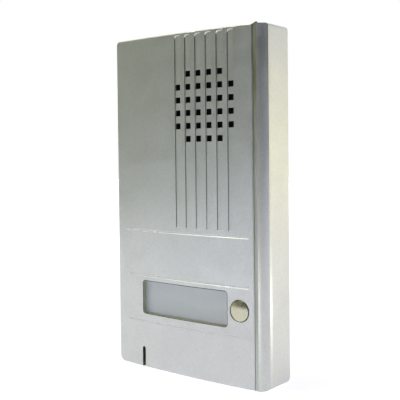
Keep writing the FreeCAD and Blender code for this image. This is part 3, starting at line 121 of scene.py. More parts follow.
def rounded_outline(low: Span, high: Span, radii: tuple[float, float, float, float], steps: int,
                    stride: float = 0.0) -> list[Span]:
    """Walk round a rectangle with rounded corners.

    Args:
        low: Left and lower limits.
        high: Right and upper limits.
        radii: Corner radii, from the lower left one round to the upper left one.
        steps: Segments in each rounded corner.
        stride: Longest step along the straight upper and lower sides, or 0 for none.

    Returns:
        Points of the outline, in order.
    """
    corners = ((low[0], low[1], 180, 1, 1), (high[0], low[1], 270, -1, 1),
               (high[0], high[1], 0, -1, -1), (low[0], high[1], 90, 1, -1))
    points: list[Span] = []
    for (x, z, start, way_x, way_z), radius in zip(corners, radii):
        centre = (x + way_x * radius, z + way_z * radius)
        count = steps if radius > 0 else 0
        for step in range(count + 1):
            turn = math.radians(start + 90 * step / max(count, 1))
            points.append((centre[0] + radius * math.cos(turn), centre[1] + radius * math.sin(turn)))
    if stride <= 0:
        return points
    dense: list[Span] = []
    for index, point in enumerate(points):
        following = points[(index + 1) % len(points)]
        dense.append(point)
        parts = max(1, math.ceil(abs(following[0] - point[0]) / stride))
        for part in range(1, parts):
            share = part / parts
            dense.append((point[0] + share * (following[0] - point[0]),
                          point[1] + share * (following[1] - point[1])))
    return dense


def full_turn(count: int) -> list[float]:
    """List evenly spaced angles round a circle, in radians."""
    return [2 * math.pi * step / count for step in range(count)]


def present(name: str, data: bpy.types.ID) -> bpy.types.Object:
    """Put an object into the scene.

    Args:
        name: Name of the object.
        data: Its mesh, lamp or camera.

    Returns:
        The object.
    """
    item = bpy.data.objects.new(name, data)
    bpy.context.scene.collection.objects.link(item)
    return item


def coat(item: bpy.types.Object, *finishes: "Finish") -> None:
    """Append finishes to a piece, in the order of its faces' material numbers."""
    for finish in finishes:
        item.data.materials.append(finish.material())


class Draft:
    """A mesh under construction."""

    def __init__(self) -> None:
        """Start with nothing."""
        self.mesh = bmesh.new()

    def ring(self, points: Sequence[Vector]) -> list[bmesh.types.BMVert]:
        """Add a ring of points.

        Args:
            points: Places of the points, in metres.

        Returns:
            The new vertices.
        """
        return [self.mesh.verts.new(point) for point in points]

    def loft(self, rings: Sequence[Ring], closed: bool = False, marks: Sequence[int] | None = None,
             lanes: Sequence[int] | None = None) -> None:
        """Join rings of equal length with faces.

        Args:
            rings: The rings, in order.
            closed: Whether the last ring joins the first one. Else the first and last are filled.
            marks: Material index of the faces behind each ring, or None for 0.
            lanes: Material index of the faces past each point of a ring, where marks has 0.
        """
        made = [self.ring(points) for points in rings]
        pairs = list(zip(made, made[1:]))
        if closed:
            pairs.append((made[-1], made[0]))
        count = len(made[0])
        for number, (first, second) in enumerate(pairs):
            for index in range(count):
                following = (index + 1) % count
                face = self.mesh.faces.new((first[index], first[following], second[following], second[index]))
                face.material_index = (marks[number] if marks else 0) or (lanes[index] if lanes else 0)
        if not closed:
            self.mesh.faces.new(made[0]).material_index = marks[0] if marks else 0
            self.mesh.faces.new(list(reversed(made[-1]))).material_index = marks[-1] if marks else 0

    def release(self, name: str) -> bpy.types.Object:
        """Make an object of the mesh as it is.

        Args:
            name: Name of the piece.

        Returns:
            The new object, in the scene.
        """
        data = bpy.data.meshes.new(name)
        self.mesh.to_mesh(data)
        self.mesh.free()
        return present(name, data)

    def finish(self, name: str, sharp: float = 30.0) -> bpy.types.Object:
        """Close the mesh, point its faces outwards and make an object of it.

        Args:
            name: Name of the piece.
            sharp: Angle in degrees past which an edge stays crisp.

        Returns:
            The new object, in the scene.
        """
        weld = 1e-7
        bmesh.ops.remove_doubles(self.mesh, verts=self.mesh.verts[:], dist=weld)
        bmesh.ops.dissolve_degenerate(self.mesh, dist=weld, edges=self.mesh.edges[:])
        bmesh.ops.recalc_face_normals(self.mesh, faces=self.mesh.faces[:])
        item = self.release(name)
        shade(item, sharp)
        return item


def shade(item: bpy.types.Object, sharp: float) -> None:
    """Shade a piece smoothly with crisp edges past an angle.

    Args:
        item: The piece.
        sharp: The angle in degrees.
    """
    item.data.polygons.foreach_set("use_smooth", [True] * len(item.data.polygons))
    item.data.set_sharp_from_angle(angle=math.radians(sharp))


def settle(item: bpy.types.Object) -> None:
    """Turn a piece's live modifiers into its mesh.

    Args:
        item: The piece.
    """
    depsgraph = bpy.context.evaluated_depsgraph_get()
    data = bpy.data.meshes.new_from_object(item.evaluated_get(depsgraph), preserve_all_data_layers=True,
                                           depsgraph=depsgraph)
    item.modifiers.clear()
    item.data = data


def work(item: bpy.types.Object, tool: bpy.types.Object, way: Way) -> None:
    """Work one closed solid on another and throw the tool away.

    Args:
        item: The piece that is worked on.
        tool: The other solid. Its faces keep their finish on the piece.
        way: What is done.
    """
    carve = item.modifiers.new("carve", "BOOLEAN")
    carve.operation = way.value
    carve.solver = "MANIFOLD"
    carve.material_mode = "TRANSFER"
    carve.object = tool
    settle(item)
    bpy.data.objects.remove(tool)


def weigh_normals(item: bpy.types.Object) -> None:
    """Let the large faces of a piece lead its shading.

    Args:
        item: The piece.
    """
    weigh = item.modifiers.new("weigh", "WEIGHTED_NORMAL")
    weigh.keep_sharp = True
    weigh.weight = 60
    settle(item)


def soften(item: bpy.types.Object, width: float, segments: int, angle: float) -> None:
    """Round the crisp edges of a piece.

    Args:
        item: The piece.
        width: Width of the rounding.
        segments: Segments across it.
        angle: Angle in degrees past which an edge is rounded.
    """
    rounding = item.modifiers.new("rounding", "BEVEL")
    rounding.width = width * MM
    rounding.segments = segments
    rounding.limit_method = "ANGLE"
    rounding.angle_limit = math.radians(angle)
    settle(item)


def frame_copy(node: str, name: str) -> bpy.types.Object:
    """Copy a node of the frame and merge its loose triangles.

    Args:
        node: Name of the node.
        name: Name of the copy.

    Returns:
        The copy, closed and in the scene.
    """
    weld = 2e-7
    draft = Draft()
    draft.mesh.from_mesh(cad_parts[node].data)
    bmesh.ops.remove_doubles(draft.mesh, verts=draft.mesh.verts[:], dist=weld)
    item = draft.release(name)
    item.data.materials.clear()
    return item


def turned(name: str, centre: Span, profile: Sequence[Span], around: int, sharp: float,
           closed: bool = False) -> bpy.types.Object:
    """Make a round piece about an axis that runs from front to back.

    Args:
        name: Name of the piece.
        centre: Place of the axis in the front view.
        profile: Radius and depth of each ring.
        around: Points in each ring.
        sharp: Angle in degrees past which an edge stays crisp.
        closed: Whether the profile closes on itself, as for a tube.

    Returns:
        The new object.
    """
    draft = Draft()
    smallest = 1e-4
    rings: list[Ring] = []
    for radius, depth in profile:
        reach = max(radius, smallest)
        rings.append([place(centre[0] + reach * math.cos(turn), depth, centre[1] + reach * math.sin(turn))
                      for turn in full_turn(around)])
    draft.loft(rings, closed)
    return draft.finish(name, sharp)


def framed(low: Span, high: Span, inset: float, depth: float, radius: float, steps: int = 6) -> Ring:
    """Walk round a rectangle with equally rounded corners at one depth.

    Args:
        low: Left and lower limits.
        high: Right and upper limits.
        inset: Distance that the ring stays inside them.
        depth: Distance behind the foremost line of the face.
        radius: Radius of the corners.
        steps: Segments in each corner.

    Returns:
        The ring.
    """
    return [place(x, depth, z) for x, z in rounded_outline(
        (low[0] + inset, low[1] + inset), (high[0] - inset, high[1] - inset), (radius,) * 4, steps)]


class NodePlan:
    """A node tree with short ways to add to it."""

    def __init__(self, tree: bpy.types.NodeTree) -> None:
        """Start with an empty tree."""
        self.tree = tree
        tree.nodes.clear()

    def lead(self, value: object, socket: bpy.types.NodeSocket) -> None:
        """Link an input to a source, or give it a plain value.

        Args:
            value: A socket or a plain value.
            socket: The input.
        """
        if isinstance(value, bpy.types.NodeSocket):
            self.tree.links.new(value, socket)
        else:
            socket.default_value = value

    def add(self, kind: str, inputs: dict[str | int, object] | None = None,
            **settings: object) -> bpy.types.Node:
        """Add a node.

        Args:
            kind: Kind of node.
            inputs: Socket or value for each input, by name or number.
            settings: Properties of the node.

        Returns:
            The node.
        """
        node = self.tree.nodes.new(kind)
        for name, value in settings.items():
            setattr(node, name, value)
        for key, value in (inputs or {}).items():
            self.lead(value, node.inputs[key])
        return node

    def math(self, kind: str, first: object, second: object = 0.0) -> bpy.types.NodeSocket:
        """Work out a value from one or two others.

        Args:
            kind: The operation.
            first: A socket or a number.
            second: A socket or a number.

        Returns:
            The result.
        """
        return self.add("ShaderNodeMath", {0: first, 1: second}, operation=kind).outputs[0]


SOCKETS = {
    "base": "Base Color", "roughness": "Roughness", "metallic": "Metallic", "alpha": "Alpha", "ior": "IOR",
    "normal": "Normal", "specular": "Specular IOR Level", "coat": "Coat Weight",
    "coat_rough": "Coat Roughness", "sheen": "Sheen Weight",
}


class MaterialSheet(NodePlan):
    """The node tree of one surface finish."""

    def __init__(self, name: str) -> None:
        """Start a finish with its surface shader.

        Args:
            name: Name of the finish.
        """
        self.material = bpy.data.materials.new(name)
        self.material.use_nodes = True
        super().__init__(self.material.node_tree)
        self.shader = self.add("ShaderNodeBsdfPrincipled")
        self.add("ShaderNodeOutputMaterial", {"Surface": self.shader.outputs["BSDF"]})
        self.place = self.add("ShaderNodeTexCoord").outputs["Object"]

    def set(self, **values: object) -> None:
        """Set or feed inputs of the surface shader.

        Args:
            values: Value or source of each input, by its short name in SOCKETS.
        """
        for name, value in values.items():
            self.lead(value, self.shader.inputs[SOCKETS[name]])

    def stretched(self, scale: Triple, turn: Triple = (0.0, 0.0, 0.0)) -> bpy.types.NodeSocket:
        """Stretch and turn the piece's coordinates.

        Args:
            scale: Factor along each axis.
            turn: Turn about each axis in radians.

        Returns:
            The changed coordinates.
        """
        return self.add("ShaderNodeMapping", {"Scale": scale, "Rotation": turn,
                                              "Vector": self.place}).outputs["Vector"]

    def noise(self, scale: float, detail: float = 3.0, stretch: Triple = EVEN) -> bpy.types.NodeSocket:
        """Make soft random variation.

        Args:
            scale: Features per metre.
            detail: Octaves of finer detail.
            stretch: Factor along each axis.

        Returns:
            A value from 0 to 1.
        """
        return self.add("ShaderNodeTexNoise", {"Scale": scale, "Detail": detail, "Roughness": 0.55,
                                               "Vector": self.stretched(stretch)}).outputs["Fac"]

    def cells(self, scale: float, part: str = "Color") -> bpy.types.NodeSocket:
        """Divide space into small cells, as for flakes, grains and pores.

        Args:
            scale: Cells per metre.
            part: Color for a random value in each cell, or Distance for that from its middle.

        Returns:
            The value.
        """
        return self.add("ShaderNodeTexVoronoi", {"Scale": scale, "Vector": self.place}).outputs[part]

    def waves(self, scale: float, axis: str, distortion: float = 0.0) -> bpy.types.NodeSocket:
        """Make even bands across an axis.

        Args:
            scale: Bands per metre, roughly.
            axis: X, Y or Z.
            distortion: How much the bands wander.

        Returns:
            A value from 0 to 1.
        """
        return self.add("ShaderNodeTexWave", {"Scale": scale, "Distortion": distortion, "Vector": self.place},
                        bands_direction=axis).outputs["Fac"]

    def height(self) -> bpy.types.NodeSocket:
        """Read the height of the piece's coordinates in metres."""
        return self.add("ShaderNodeSeparateXYZ", {0: self.place}).outputs["Z"]

    def spread(self, source: bpy.types.NodeSocket, start: Span, end: Span) -> bpy.types.NodeSocket:
        """Map a value from one span to another.

        Args:
            source: The value.
            start: Lower and upper limits that it has.
            end: Values that these become.

        Returns:
            The mapped value, held inside the new span.
        """
        return self.add("ShaderNodeMapRange", {
            "Value": source, "From Min": start[0], "From Max": start[1], "To Min": end[0],
            "To Max": end[1]}).outputs["Result"]

    def blend(self, share: object, first: object, second: object) -> bpy.types.NodeSocket:
        """Mix two colours.

        Args:
            share: Socket or number, 0 for the first and 1 for the second.
            first: Socket or colour.
            second: Socket or colour.

        Returns:
            The mixed colour.
        """
        first, second = (side if isinstance(side, bpy.types.NodeSocket) else (*side, 1.0)
                         for side in (first, second))
        return self.add("ShaderNodeMix", {0: share, 6: first, 7: second}, data_type="RGBA").outputs[2]

    def relief(self, height: bpy.types.NodeSocket, depth: float, strength: float) -> None:
        """Give the surface a fine relief.

        Args:
            height: Height from 0 to 1.
            depth: Depth of the relief.
            strength: How much of it shows.
        """
        self.set(normal=self.add("ShaderNodeBump", {
            "Strength": strength, "Distance": depth * MM, "Height": height}).outputs["Normal"])


class Finish:
    """A surface finish that is made once and shared by the pieces that have it."""

    made: dict[str, bpy.types.Material] = {}
    name: str

    def material(self) -> bpy.types.Material:
        """Return the finish's material, making it the first time.

        Returns:
            The material.
        """
        if self.name not in Finish.made:
            sheet = MaterialSheet(self.name)
            self.dress(sheet)
            Finish.made[self.name] = sheet.material
        return Finish.made[self.name]

    def dress(self, sheet: MaterialSheet) -> None:
        """Lead the finish's values into the surface shader of its sheet."""
        raise NotImplementedError


@dataclass(frozen=True)
class SilverPaint(Finish):
    """Satin silver paint with fine flakes over moulded plastic."""

    name: str = "silver_paint"
    light: Colour = (0.705, 0.705, 0.71)
    dark: Colour = (0.57, 0.57, 0.575)
    metallic: float = 0.78
    roughness: float = 0.36
    flakes: float = 2600.0
    grit: float = 1150.0
    share: float = 0.35

    def dress(self, sheet: MaterialSheet) -> None:
        """Make the paint: flakes, grit, faint clouds, a soft relief and rubbed patches.

        Args:
            sheet: The sheet that it is made on.
        """
        flake = sheet.spread(sheet.cells(self.flakes), CELLS, FULL)
        glints = sheet.math("MULTIPLY", flake, self.share)
        cloud = sheet.spread(sheet.noise(45.0, 4.0), CLOUDS, (0.25, 0.75))
        grit = sheet.spread(sheet.cells(self.grit), CELLS, (0.0, 0.3))
        share = sheet.math("ADD", sheet.math("ADD", glints, sheet.math("MULTIPLY", cloud, self.share)), grit)
        rough = sheet.spread(sheet.noise(130.0, 5.0), NOISE, (self.roughness - 0.05, self.roughness + 0.06))
        sheet.set(base=sheet.blend(share, self.dark, self.light), roughness=rough, metallic=self.metallic,
                  ior=1.46)
        sheet.relief(sheet.math("ADD", sheet.noise(1500.0, 2.0), glints), 0.035, 0.55)


@dataclass(frozen=True)
class Moulding(Finish):
    """Moulded plastic or rubber with a fine matt grain."""

    name: str
    colour: Colour
    roughness: float = 0.5
    grain: float = 900.0
    depth: float = 0.02
    variation: float = 0.12
    specular: float = 0.5

    def dress(self, sheet: MaterialSheet) -> None:
        """Make the plastic: cloudy colour and eroded grain.

        Args:
            sheet: The sheet that it is made on.
        """
        dim = tuple(part * (1 - self.variation) for part in self.colour)
        bright = tuple(min(1.0, part * (1 + self.variation)) for part in self.colour)
        rough = (self.roughness - 0.06, self.roughness + 0.06)
        sheet.set(base=sheet.blend(sheet.spread(sheet.noise(120.0, 5.0), CLOUDS, FULL), dim, bright),
                  roughness=sheet.spread(sheet.noise(260.0), NOISE, rough), specular=self.specular)
        sheet.relief(sheet.noise(self.grain, 2.0), self.depth, 0.6)


@dataclass(frozen=True)
class PlatedMetal(Finish):
    """Turned, pressed or polished metal with fine working marks."""

    name: str
    colour: Colour
    roughness: float = 0.3
    marks: Triple = (1.0, 12.0, 1.0)
    depth: float = 0.004
    spots: float = 0.1

    def dress(self, sheet: MaterialSheet) -> None:
        """Make the metal: streaks along the working direction and small dull spots.

        Args:
            sheet: The sheet that it is made on.
        """
        dull = tuple(part * (1 - self.spots) for part in self.colour)
        spot = sheet.spread(sheet.noise(420.0, 4.0), (0.5, 0.72), FULL)
        streak = sheet.noise(700.0, 3.0, self.marks)
        rough = sheet.spread(streak, (0.25, 0.75), (self.roughness * 0.75, self.roughness * 1.3))
        sheet.set(base=sheet.blend(spot, self.colour, dull), metallic=1.0, roughness=rough)
        sheet.relief(streak, self.depth, 0.5)


@dataclass(frozen=True)
class ClearWindow(Finish):
    """Clear polished plastic, a little cloudy with age."""

    name: str = "clear_window"
    colour: Colour = (0.97, 0.91, 0.9)
    scuffed: Colour = (0.8, 0.83, 0.82)
    cover: float = 0.36

    def dress(self, sheet: MaterialSheet) -> None:
        """Make the window: mostly open, with gloss and fine scuffs.

        Args:
            sheet: The sheet that it is made on.
        """
        scuff = sheet.noise(300.0, 4.0, (1.0, 1.0, 0.15))
        sheet.set(base=sheet.blend(scuff, self.colour, self.scuffed), alpha=self.cover, ior=1.49,
                  roughness=sheet.spread(scuff, NOISE, (0.05, 0.14)))


@dataclass(frozen=True)
class CardStock(Finish):
    """Blank matt card with short fibres, a little aged low down."""

    name: str = "card"
    colour: Colour = (0.98, 0.87, 0.88)
    aged: Colour = (0.95, 0.84, 0.76)
    fibres: Colour = (0.74, 0.74, 0.74)
    low: Span = (0.027, 0.046)

    def dress(self, sheet: MaterialSheet) -> None:
        """Make the card: fibres, a soft mottle and a faint tint low down.

        Args:
            sheet: The sheet that it is made on.
        """
        fibre = sheet.noise(900.0, 3.0, (1.0, 1.0, 5.0))
        low = sheet.spread(sheet.height(), self.low, (0.7, 0.0))
        share = sheet.math("MULTIPLY", sheet.math("ADD", low, sheet.noise(70.0, 3.0)), 0.6)
        base = sheet.blend(share, self.colour, self.aged)
        fibred = sheet.blend(sheet.spread(fibre, NOISE, (0.0, 0.08)), base, self.fibres)
        sheet.set(base=fibred, roughness=0.78, specular=0.3)
        sheet.relief(fibre, 0.02, 0.5)


@dataclass(frozen=True)
class SeamRubberShade(Finish):
    """Matt olive elastomer whose dark colour is painted shade in the seam, with dust streaks and painted
    light that pales it towards the bottom.
    """

    name: str = "seam_rubber"
    colour: Colour = (0.2, 0.192, 0.1)
    pale_dust_and_light: Colour = (0.8, 0.78, 0.7)
    low: Span = (0.0, 0.14)

    def dress(self, sheet: MaterialSheet) -> None:
        """Make the elastomer: long streaks of dust over a dark base of painted shade, with painted light that
        pales it towards the bottom.

        Args:
            sheet: The sheet that it is made on.
        """
        streaks = sheet.spread(sheet.noise(260.0, 4.0, (1.0, 1.0, 0.12)), (0.38, 0.68), (0.0, 0.25))
        # Painted light: the pale colour spread by height lightens the strip towards the bottom; the noise
        # streaks are dust.
        dust = sheet.math("ADD", sheet.spread(sheet.height(), self.low, (0.95, 0.0)), streaks)
        sheet.set(base=sheet.blend(dust, self.colour, self.pale_dust_and_light), roughness=0.72, specular=0.35)
        sheet.relief(sheet.noise(1200.0, 2.0), 0.03, 0.6)


@dataclass(frozen=True)
class WovenWire(Finish):
    """Black coated wire of the dust mesh."""

    name: str = "dust_mesh"
    colour: Colour = (0.018, 0.018, 0.02)
    worn: Colour = (0.045, 0.045, 0.045)

    def dress(self, sheet: MaterialSheet) -> None:
        """Make the coating: near black, a little worn.

        Args:
            sheet: The sheet that it is made on.
        """
        wear = sheet.spread(sheet.noise(600.0, 3.0), (0.45, 0.75), FULL)
        sheet.set(base=sheet.blend(wear, self.colour, self.worn), roughness=0.6, specular=0.3)
        sheet.relief(wear, 0.01, 0.4)


@dataclass(frozen=True)
class Foam(Finish):
    """Closed-cell foam."""

    name: str = "black_foam"
    pore: Colour = (0.012, 0.012, 0.013)
    wall: Colour = (0.057, 0.057, 0.0608)

    def dress(self, sheet: MaterialSheet) -> None:
        """Make the foam: small round cells in the surface, each darkened towards its middle by painted shade.

        Args:
            sheet: The sheet that it is made on.
        """
        pores = sheet.cells(2400.0, "Distance")
        # The darker middles of the cells are painted shade in the pores.
        sheet.set(base=sheet.blend(pores, self.pore, self.wall), roughness=0.92, specular=0.2)
        sheet.relief(pores, 0.12, 0.9)


@dataclass(frozen=True)
class BoardLacquer(Finish):
    """Glass fibre board under green lacquer, with the weave just showing."""

    name: str = "board"
    colour: Colour = (0.03, 0.13, 0.055)
    thread: Colour = (0.045, 0.17, 0.08)
    copper: Colour = (0.07, 0.25, 0.11)
    weave: float = 420.0

    def dress(self, sheet: MaterialSheet) -> None:
        """Make the board: weave, lacquer and paler runs of copper under it.

        Args:
            sheet: The sheet that it is made on.
        """
        weave = sheet.math("MULTIPLY", sheet.waves(self.weave, "X"), sheet.waves(self.weave, "Z"))
        runs = sheet.add("ShaderNodeTexBrick", {
            "Scale": 85.0, "Mortar Size": 0.09, "Color1": (0, 0, 0, 1), "Color2": (0.25, 0.25, 0.25, 1),
            "Mortar": (1, 1, 1, 1), "Vector": sheet.stretched(EVEN, (QUARTER, 0, 0))}, offset=0.5)
        base = sheet.blend(sheet.math("MULTIPLY", weave, 0.5), self.colour, self.thread)
        sheet.set(base=sheet.blend(runs.outputs["Color"], base, self.copper), roughness=0.32, coat=0.4,
                  coat_rough=0.2)
        sheet.relief(sheet.math("ADD", runs.outputs["Fac"], sheet.math("MULTIPLY", weave, 0.3)), 0.03, 0.6)


@dataclass(frozen=True)
class BandedBody(Finish):
    """Lacquered body with plain bands across it, such as a resistor's or a capacitor's sleeve."""

    name: str
    colour: Colour
    band: Colour
    pitch: float
    share: float

    def dress(self, sheet: MaterialSheet) -> None:
        """Make the lacquer and its bands.

        Args:
            sheet: The sheet that it is made on.
        """
        bands = sheet.spread(sheet.waves(self.pitch, "X"), (self.share, self.share + 0.06), FULL)
        mottle = sheet.spread(sheet.noise(500.0, 3.0), NOISE, (0.0, 0.35))
        base = sheet.blend(mottle, self.colour, tuple(part * 0.7 for part in self.colour))
        sheet.set(base=sheet.blend(bands, base, self.band), roughness=0.3, coat=0.3)
        sheet.relief(mottle, 0.02, 0.5)


@dataclass(frozen=True)
class CoiledWire(Finish):
    """Fine wire or tape wound in close turns."""

    name: str
    colour: Colour
    axis: str
    turns: float
    metallic: float = 0.0

    def dress(self, sheet: MaterialSheet) -> None:
        """Make the winding: turns as relief, with painted shade as darker lines between them.

        Args:
            sheet: The sheet that it is made on.
        """
        turn = sheet.waves(self.turns, self.axis, 0.4)
        # Painted shade between the turns.
        dark = tuple(part * 0.55 for part in self.colour)
        sheet.set(base=sheet.blend(turn, dark, self.colour), metallic=self.metallic, roughness=0.32)
        sheet.relief(turn, 0.06, 0.8)


@dataclass(frozen=True)
class ClearFilm(Finish):
    """Satin film or small bulb, slightly see-through."""

    name: str = "clear_film"
    colour: Colour = (0.55, 0.57, 0.56)
    dull: Colour = (0.42, 0.43, 0.42)

    def dress(self, sheet: MaterialSheet) -> None:
        """Make the film: a soft mottle and a fine grain.

        Args:
            sheet: The sheet that it is made on.
        """
        mottle = sheet.noise(250.0, 4.0)
        sheet.set(base=sheet.blend(mottle, self.colour, self.dull), roughness=0.28, alpha=0.92, sheen=0.1)
        sheet.relief(sheet.noise(700.0, 2.0), 0.03, 0.5)


PAINT = SilverPaint()
# Painted shade: a dark olive copy of the silver paint for the walls of the grooves and the slot, where shade
# falls.
SHADE = SilverPaint("groove_painted_shade", (0.2, 0.205, 0.12), (0.15, 0.155, 0.09), 0.3, 0.6)
# Painted shade: an olive-grey copy of the silver paint for the walls of the window opening.
WINDOW_WALL_SHADE = SilverPaint("window_wall_painted_shade", (0.62, 0.63, 0.46), (0.52, 0.53, 0.38), 0.25, 0.5)
# Painted shadow: a near-black finish for the chamfer round the window, a dark outline where the gap's shadow
# falls.
RIM_SHADOW = Moulding("window_rim_painted_shadow", (0.05, 0.048, 0.032), 0.6, 900.0, 0.01, 0.2, 0.3)
# Painted highlight: a pale copy of the silver paint for the sloped lips of the grooves and lines.
LIP_HIGHLIGHT = SilverPaint("lip_painted_highlight", (0.9, 0.9, 0.93), (0.82, 0.82, 0.86), 0.6, 0.3)
# Painted shade: near black for the walls of the speaker holes and of the button's hole, inside which shade
# falls.
HOLLOW = Moulding("hole_painted_shade", (0.022, 0.023, 0.021), 0.75, 700.0, 0.02, 0.2, 0.2)
BUTTON_METAL = PlatedMetal("button_metal", (0.55, 0.53, 0.42), 0.27, (0.3, 0.3, 0.3), 0.001, 0.02)
STEEL = PlatedMetal("screw_steel", (0.62, 0.62, 0.6), 0.3)
SPRING_STEEL = PlatedMetal("spring_steel", (0.5, 0.5, 0.5), 0.28)
PRESSED = PlatedMetal("pressed_steel", (0.56, 0.57, 0.55), 0.36, (3.0, 3.0, 3.0), 0.006, 0.16)
CAN = PlatedMetal("aluminium_can", (0.76, 0.76, 0.77), 0.3, (6.0, 1.0, 6.0), 0.003)
MESH = WovenWire()
CONE = Moulding("cone_black", (0.016, 0.016, 0.018), 0.65, 500.0, 0.02, 0.15, 0.2)
FOAM = Foam()
RUBBER = Moulding("black_rubber", (0.035, 0.035, 0.037), 0.7, 700.0, 0.03)
BLACK = Moulding("black_plastic", (0.045, 0.045, 0.05), 0.48)
GREY = Moulding("grey_plastic", (0.3, 0.3, 0.31), 0.45)
WHITE = Moulding("white_plastic", (0.74, 0.74, 0.71), 0.4, 600.0, 0.015, 0.04)
TERMINAL = Moulding("terminal_green", (0.07, 0.32, 0.16), 0.4)
BLUE = Moulding("trimmer_blue", (0.05, 0.16, 0.5), 0.38)
FERRITE = Moulding("ferrite", (0.06, 0.06, 0.066), 0.62, 1500.0, 0.05, 0.25, 0.5)
FIBRE = Moulding("fibre_board", (0.33, 0.2, 0.09), 0.5, 400.0, 0.02, 0.25)
FILM_RED = Moulding("film_red", (0.5, 0.09, 0.05), 0.22, 260.0, 0.03, 0.1, 0.6)
COPPER = CoiledWire("copper", (0.72, 0.38, 0.22), "Y", 2600.0, 1.0)
TAPE = CoiledWire("winding_tape", (0.72, 0.58, 0.14), "Z", 260.0)
RESISTOR = BandedBody("resistor_tan", (0.6, 0.45, 0.28), (0.3, 0.1, 0.03), 190.0, 0.72)
DIODE = BandedBody("diode_glass", (0.05, 0.05, 0.05), (0.6, 0.6, 0.58), 120.0, 0.93)
SLEEVE = BandedBody("can_sleeve", (0.03, 0.04, 0.075), (0.35, 0.36, 0.4), 75.0, 0.93)
LEAD_RED = CoiledWire("lead_red", (0.5, 0.05, 0.03), "Z", 500.0)
LEAD_GREY = CoiledWire("lead_grey", (0.26, 0.26, 0.28), "Z", 500.0)
FILM = ClearFilm()
WINDOW = ClearWindow()
CARD = CardStock()
STRIP = SeamRubberShade()
LACQUER = BoardLacquer()


class PiecePlan(NodePlan):
    """A Geometry Nodes tree with named inputs that ends in plain faces of one finish."""

    def __init__(self, name: str, inputs: dict[str, tuple[str, object]]) -> None:
        """Start a tree.

        Args:
            name: Name of the tree.
            inputs: Kind of socket and value of each named input.
        """
        super().__init__(bpy.data.node_groups.new(name, "GeometryNodeTree"))
        interface = self.tree.interface
        interface.new_socket("Geometry", in_out="INPUT", socket_type="NodeSocketGeometry")
        interface.new_socket("Geometry", in_out="OUTPUT", socket_type="NodeSocketGeometry")
        self.values: dict[str, object] = {}
        for label, (kind, value) in inputs.items():
            socket = interface.new_socket(label, in_out="INPUT", socket_type=f"NodeSocket{kind}")
            self.values[socket.identifier] = value
        self.given = self.add("NodeGroupInput").outputs

    def geometry(self, kind: str, inputs: dict[str | int, object] | None = None,
                 **settings: object) -> bpy.types.Node:
        """Add a geometry node, whose kind is given without its prefix."""
        return self.add(f"GeometryNode{kind}", inputs, **settings)

    def vector(self, axis: int, length: object) -> bpy.types.NodeSocket:
        """Point a length along an axis, numbered from 0 for X."""
        return self.add("ShaderNodeCombineXYZ", {axis: length}).outputs[0]

    def bulge_offset(self, radius: bpy.types.NodeSocket) -> bpy.types.NodeSocket:
        """Work out how far each point moves back to follow the bulged face.

        Args:
            radius: Radius of the face.

        Returns:
            The offset as a vector.
        """
        split = self.add("ShaderNodeSeparateXYZ", {0: self.geometry("InputPosition").outputs[0]})
        reach = self.math("MULTIPLY", split.outputs[0], split.outputs[0])
        square = self.math("SUBTRACT", self.math("MULTIPLY", radius, radius), reach)
        return self.vector(1, self.math("SUBTRACT", radius, self.math("SQRT", square)))

    def finish(self, name: str, last: bpy.types.NodeSocket, finish: Finish,
               sharp: float = 30.0) -> bpy.types.Object:
        """End the tree, run it and keep its result as a plain mesh.

        Args:
            name: Name of the piece.
            last: The last geometry socket.
            finish: Finish of all its faces.
            sharp: Angle in degrees past which an edge stays crisp.

        Returns:
            The new object.
        """
        real = self.geometry("RealizeInstances", {0: last})
        coated = self.geometry("SetMaterial", {"Geometry": real.outputs[0], "Material": finish.material()})
        self.add("NodeGroupOutput", {0: coated.outputs[0]})
        item = present(name, bpy.data.meshes.new(name))
        maker = item.modifiers.new("maker", "NODES")
        maker.node_group = self.tree
        for identifier, value in self.values.items():
            maker[identifier] = value
        settle(item)
        shade(item, sharp)
        return item


def clad(item: bpy.types.Object, finish: Finish, slot: str, *nodes: str, body: str = "housing") -> None:
    """Give a piece its finish and its place among the frame's bodies.

    Args:
        item: The piece.
        finish: Its finish, used where it has none yet.
        slot: The record's material slot. Not used.
        nodes: Nodes of the frame that it stands for.
        body: The body that it rides on.
    """
    if not item.data.materials:
        coat(item, finish)
    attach(item, body)
    if nodes:
        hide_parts(*nodes)
    log.info("%s: %d faces", item.name, len(item.data.polygons))


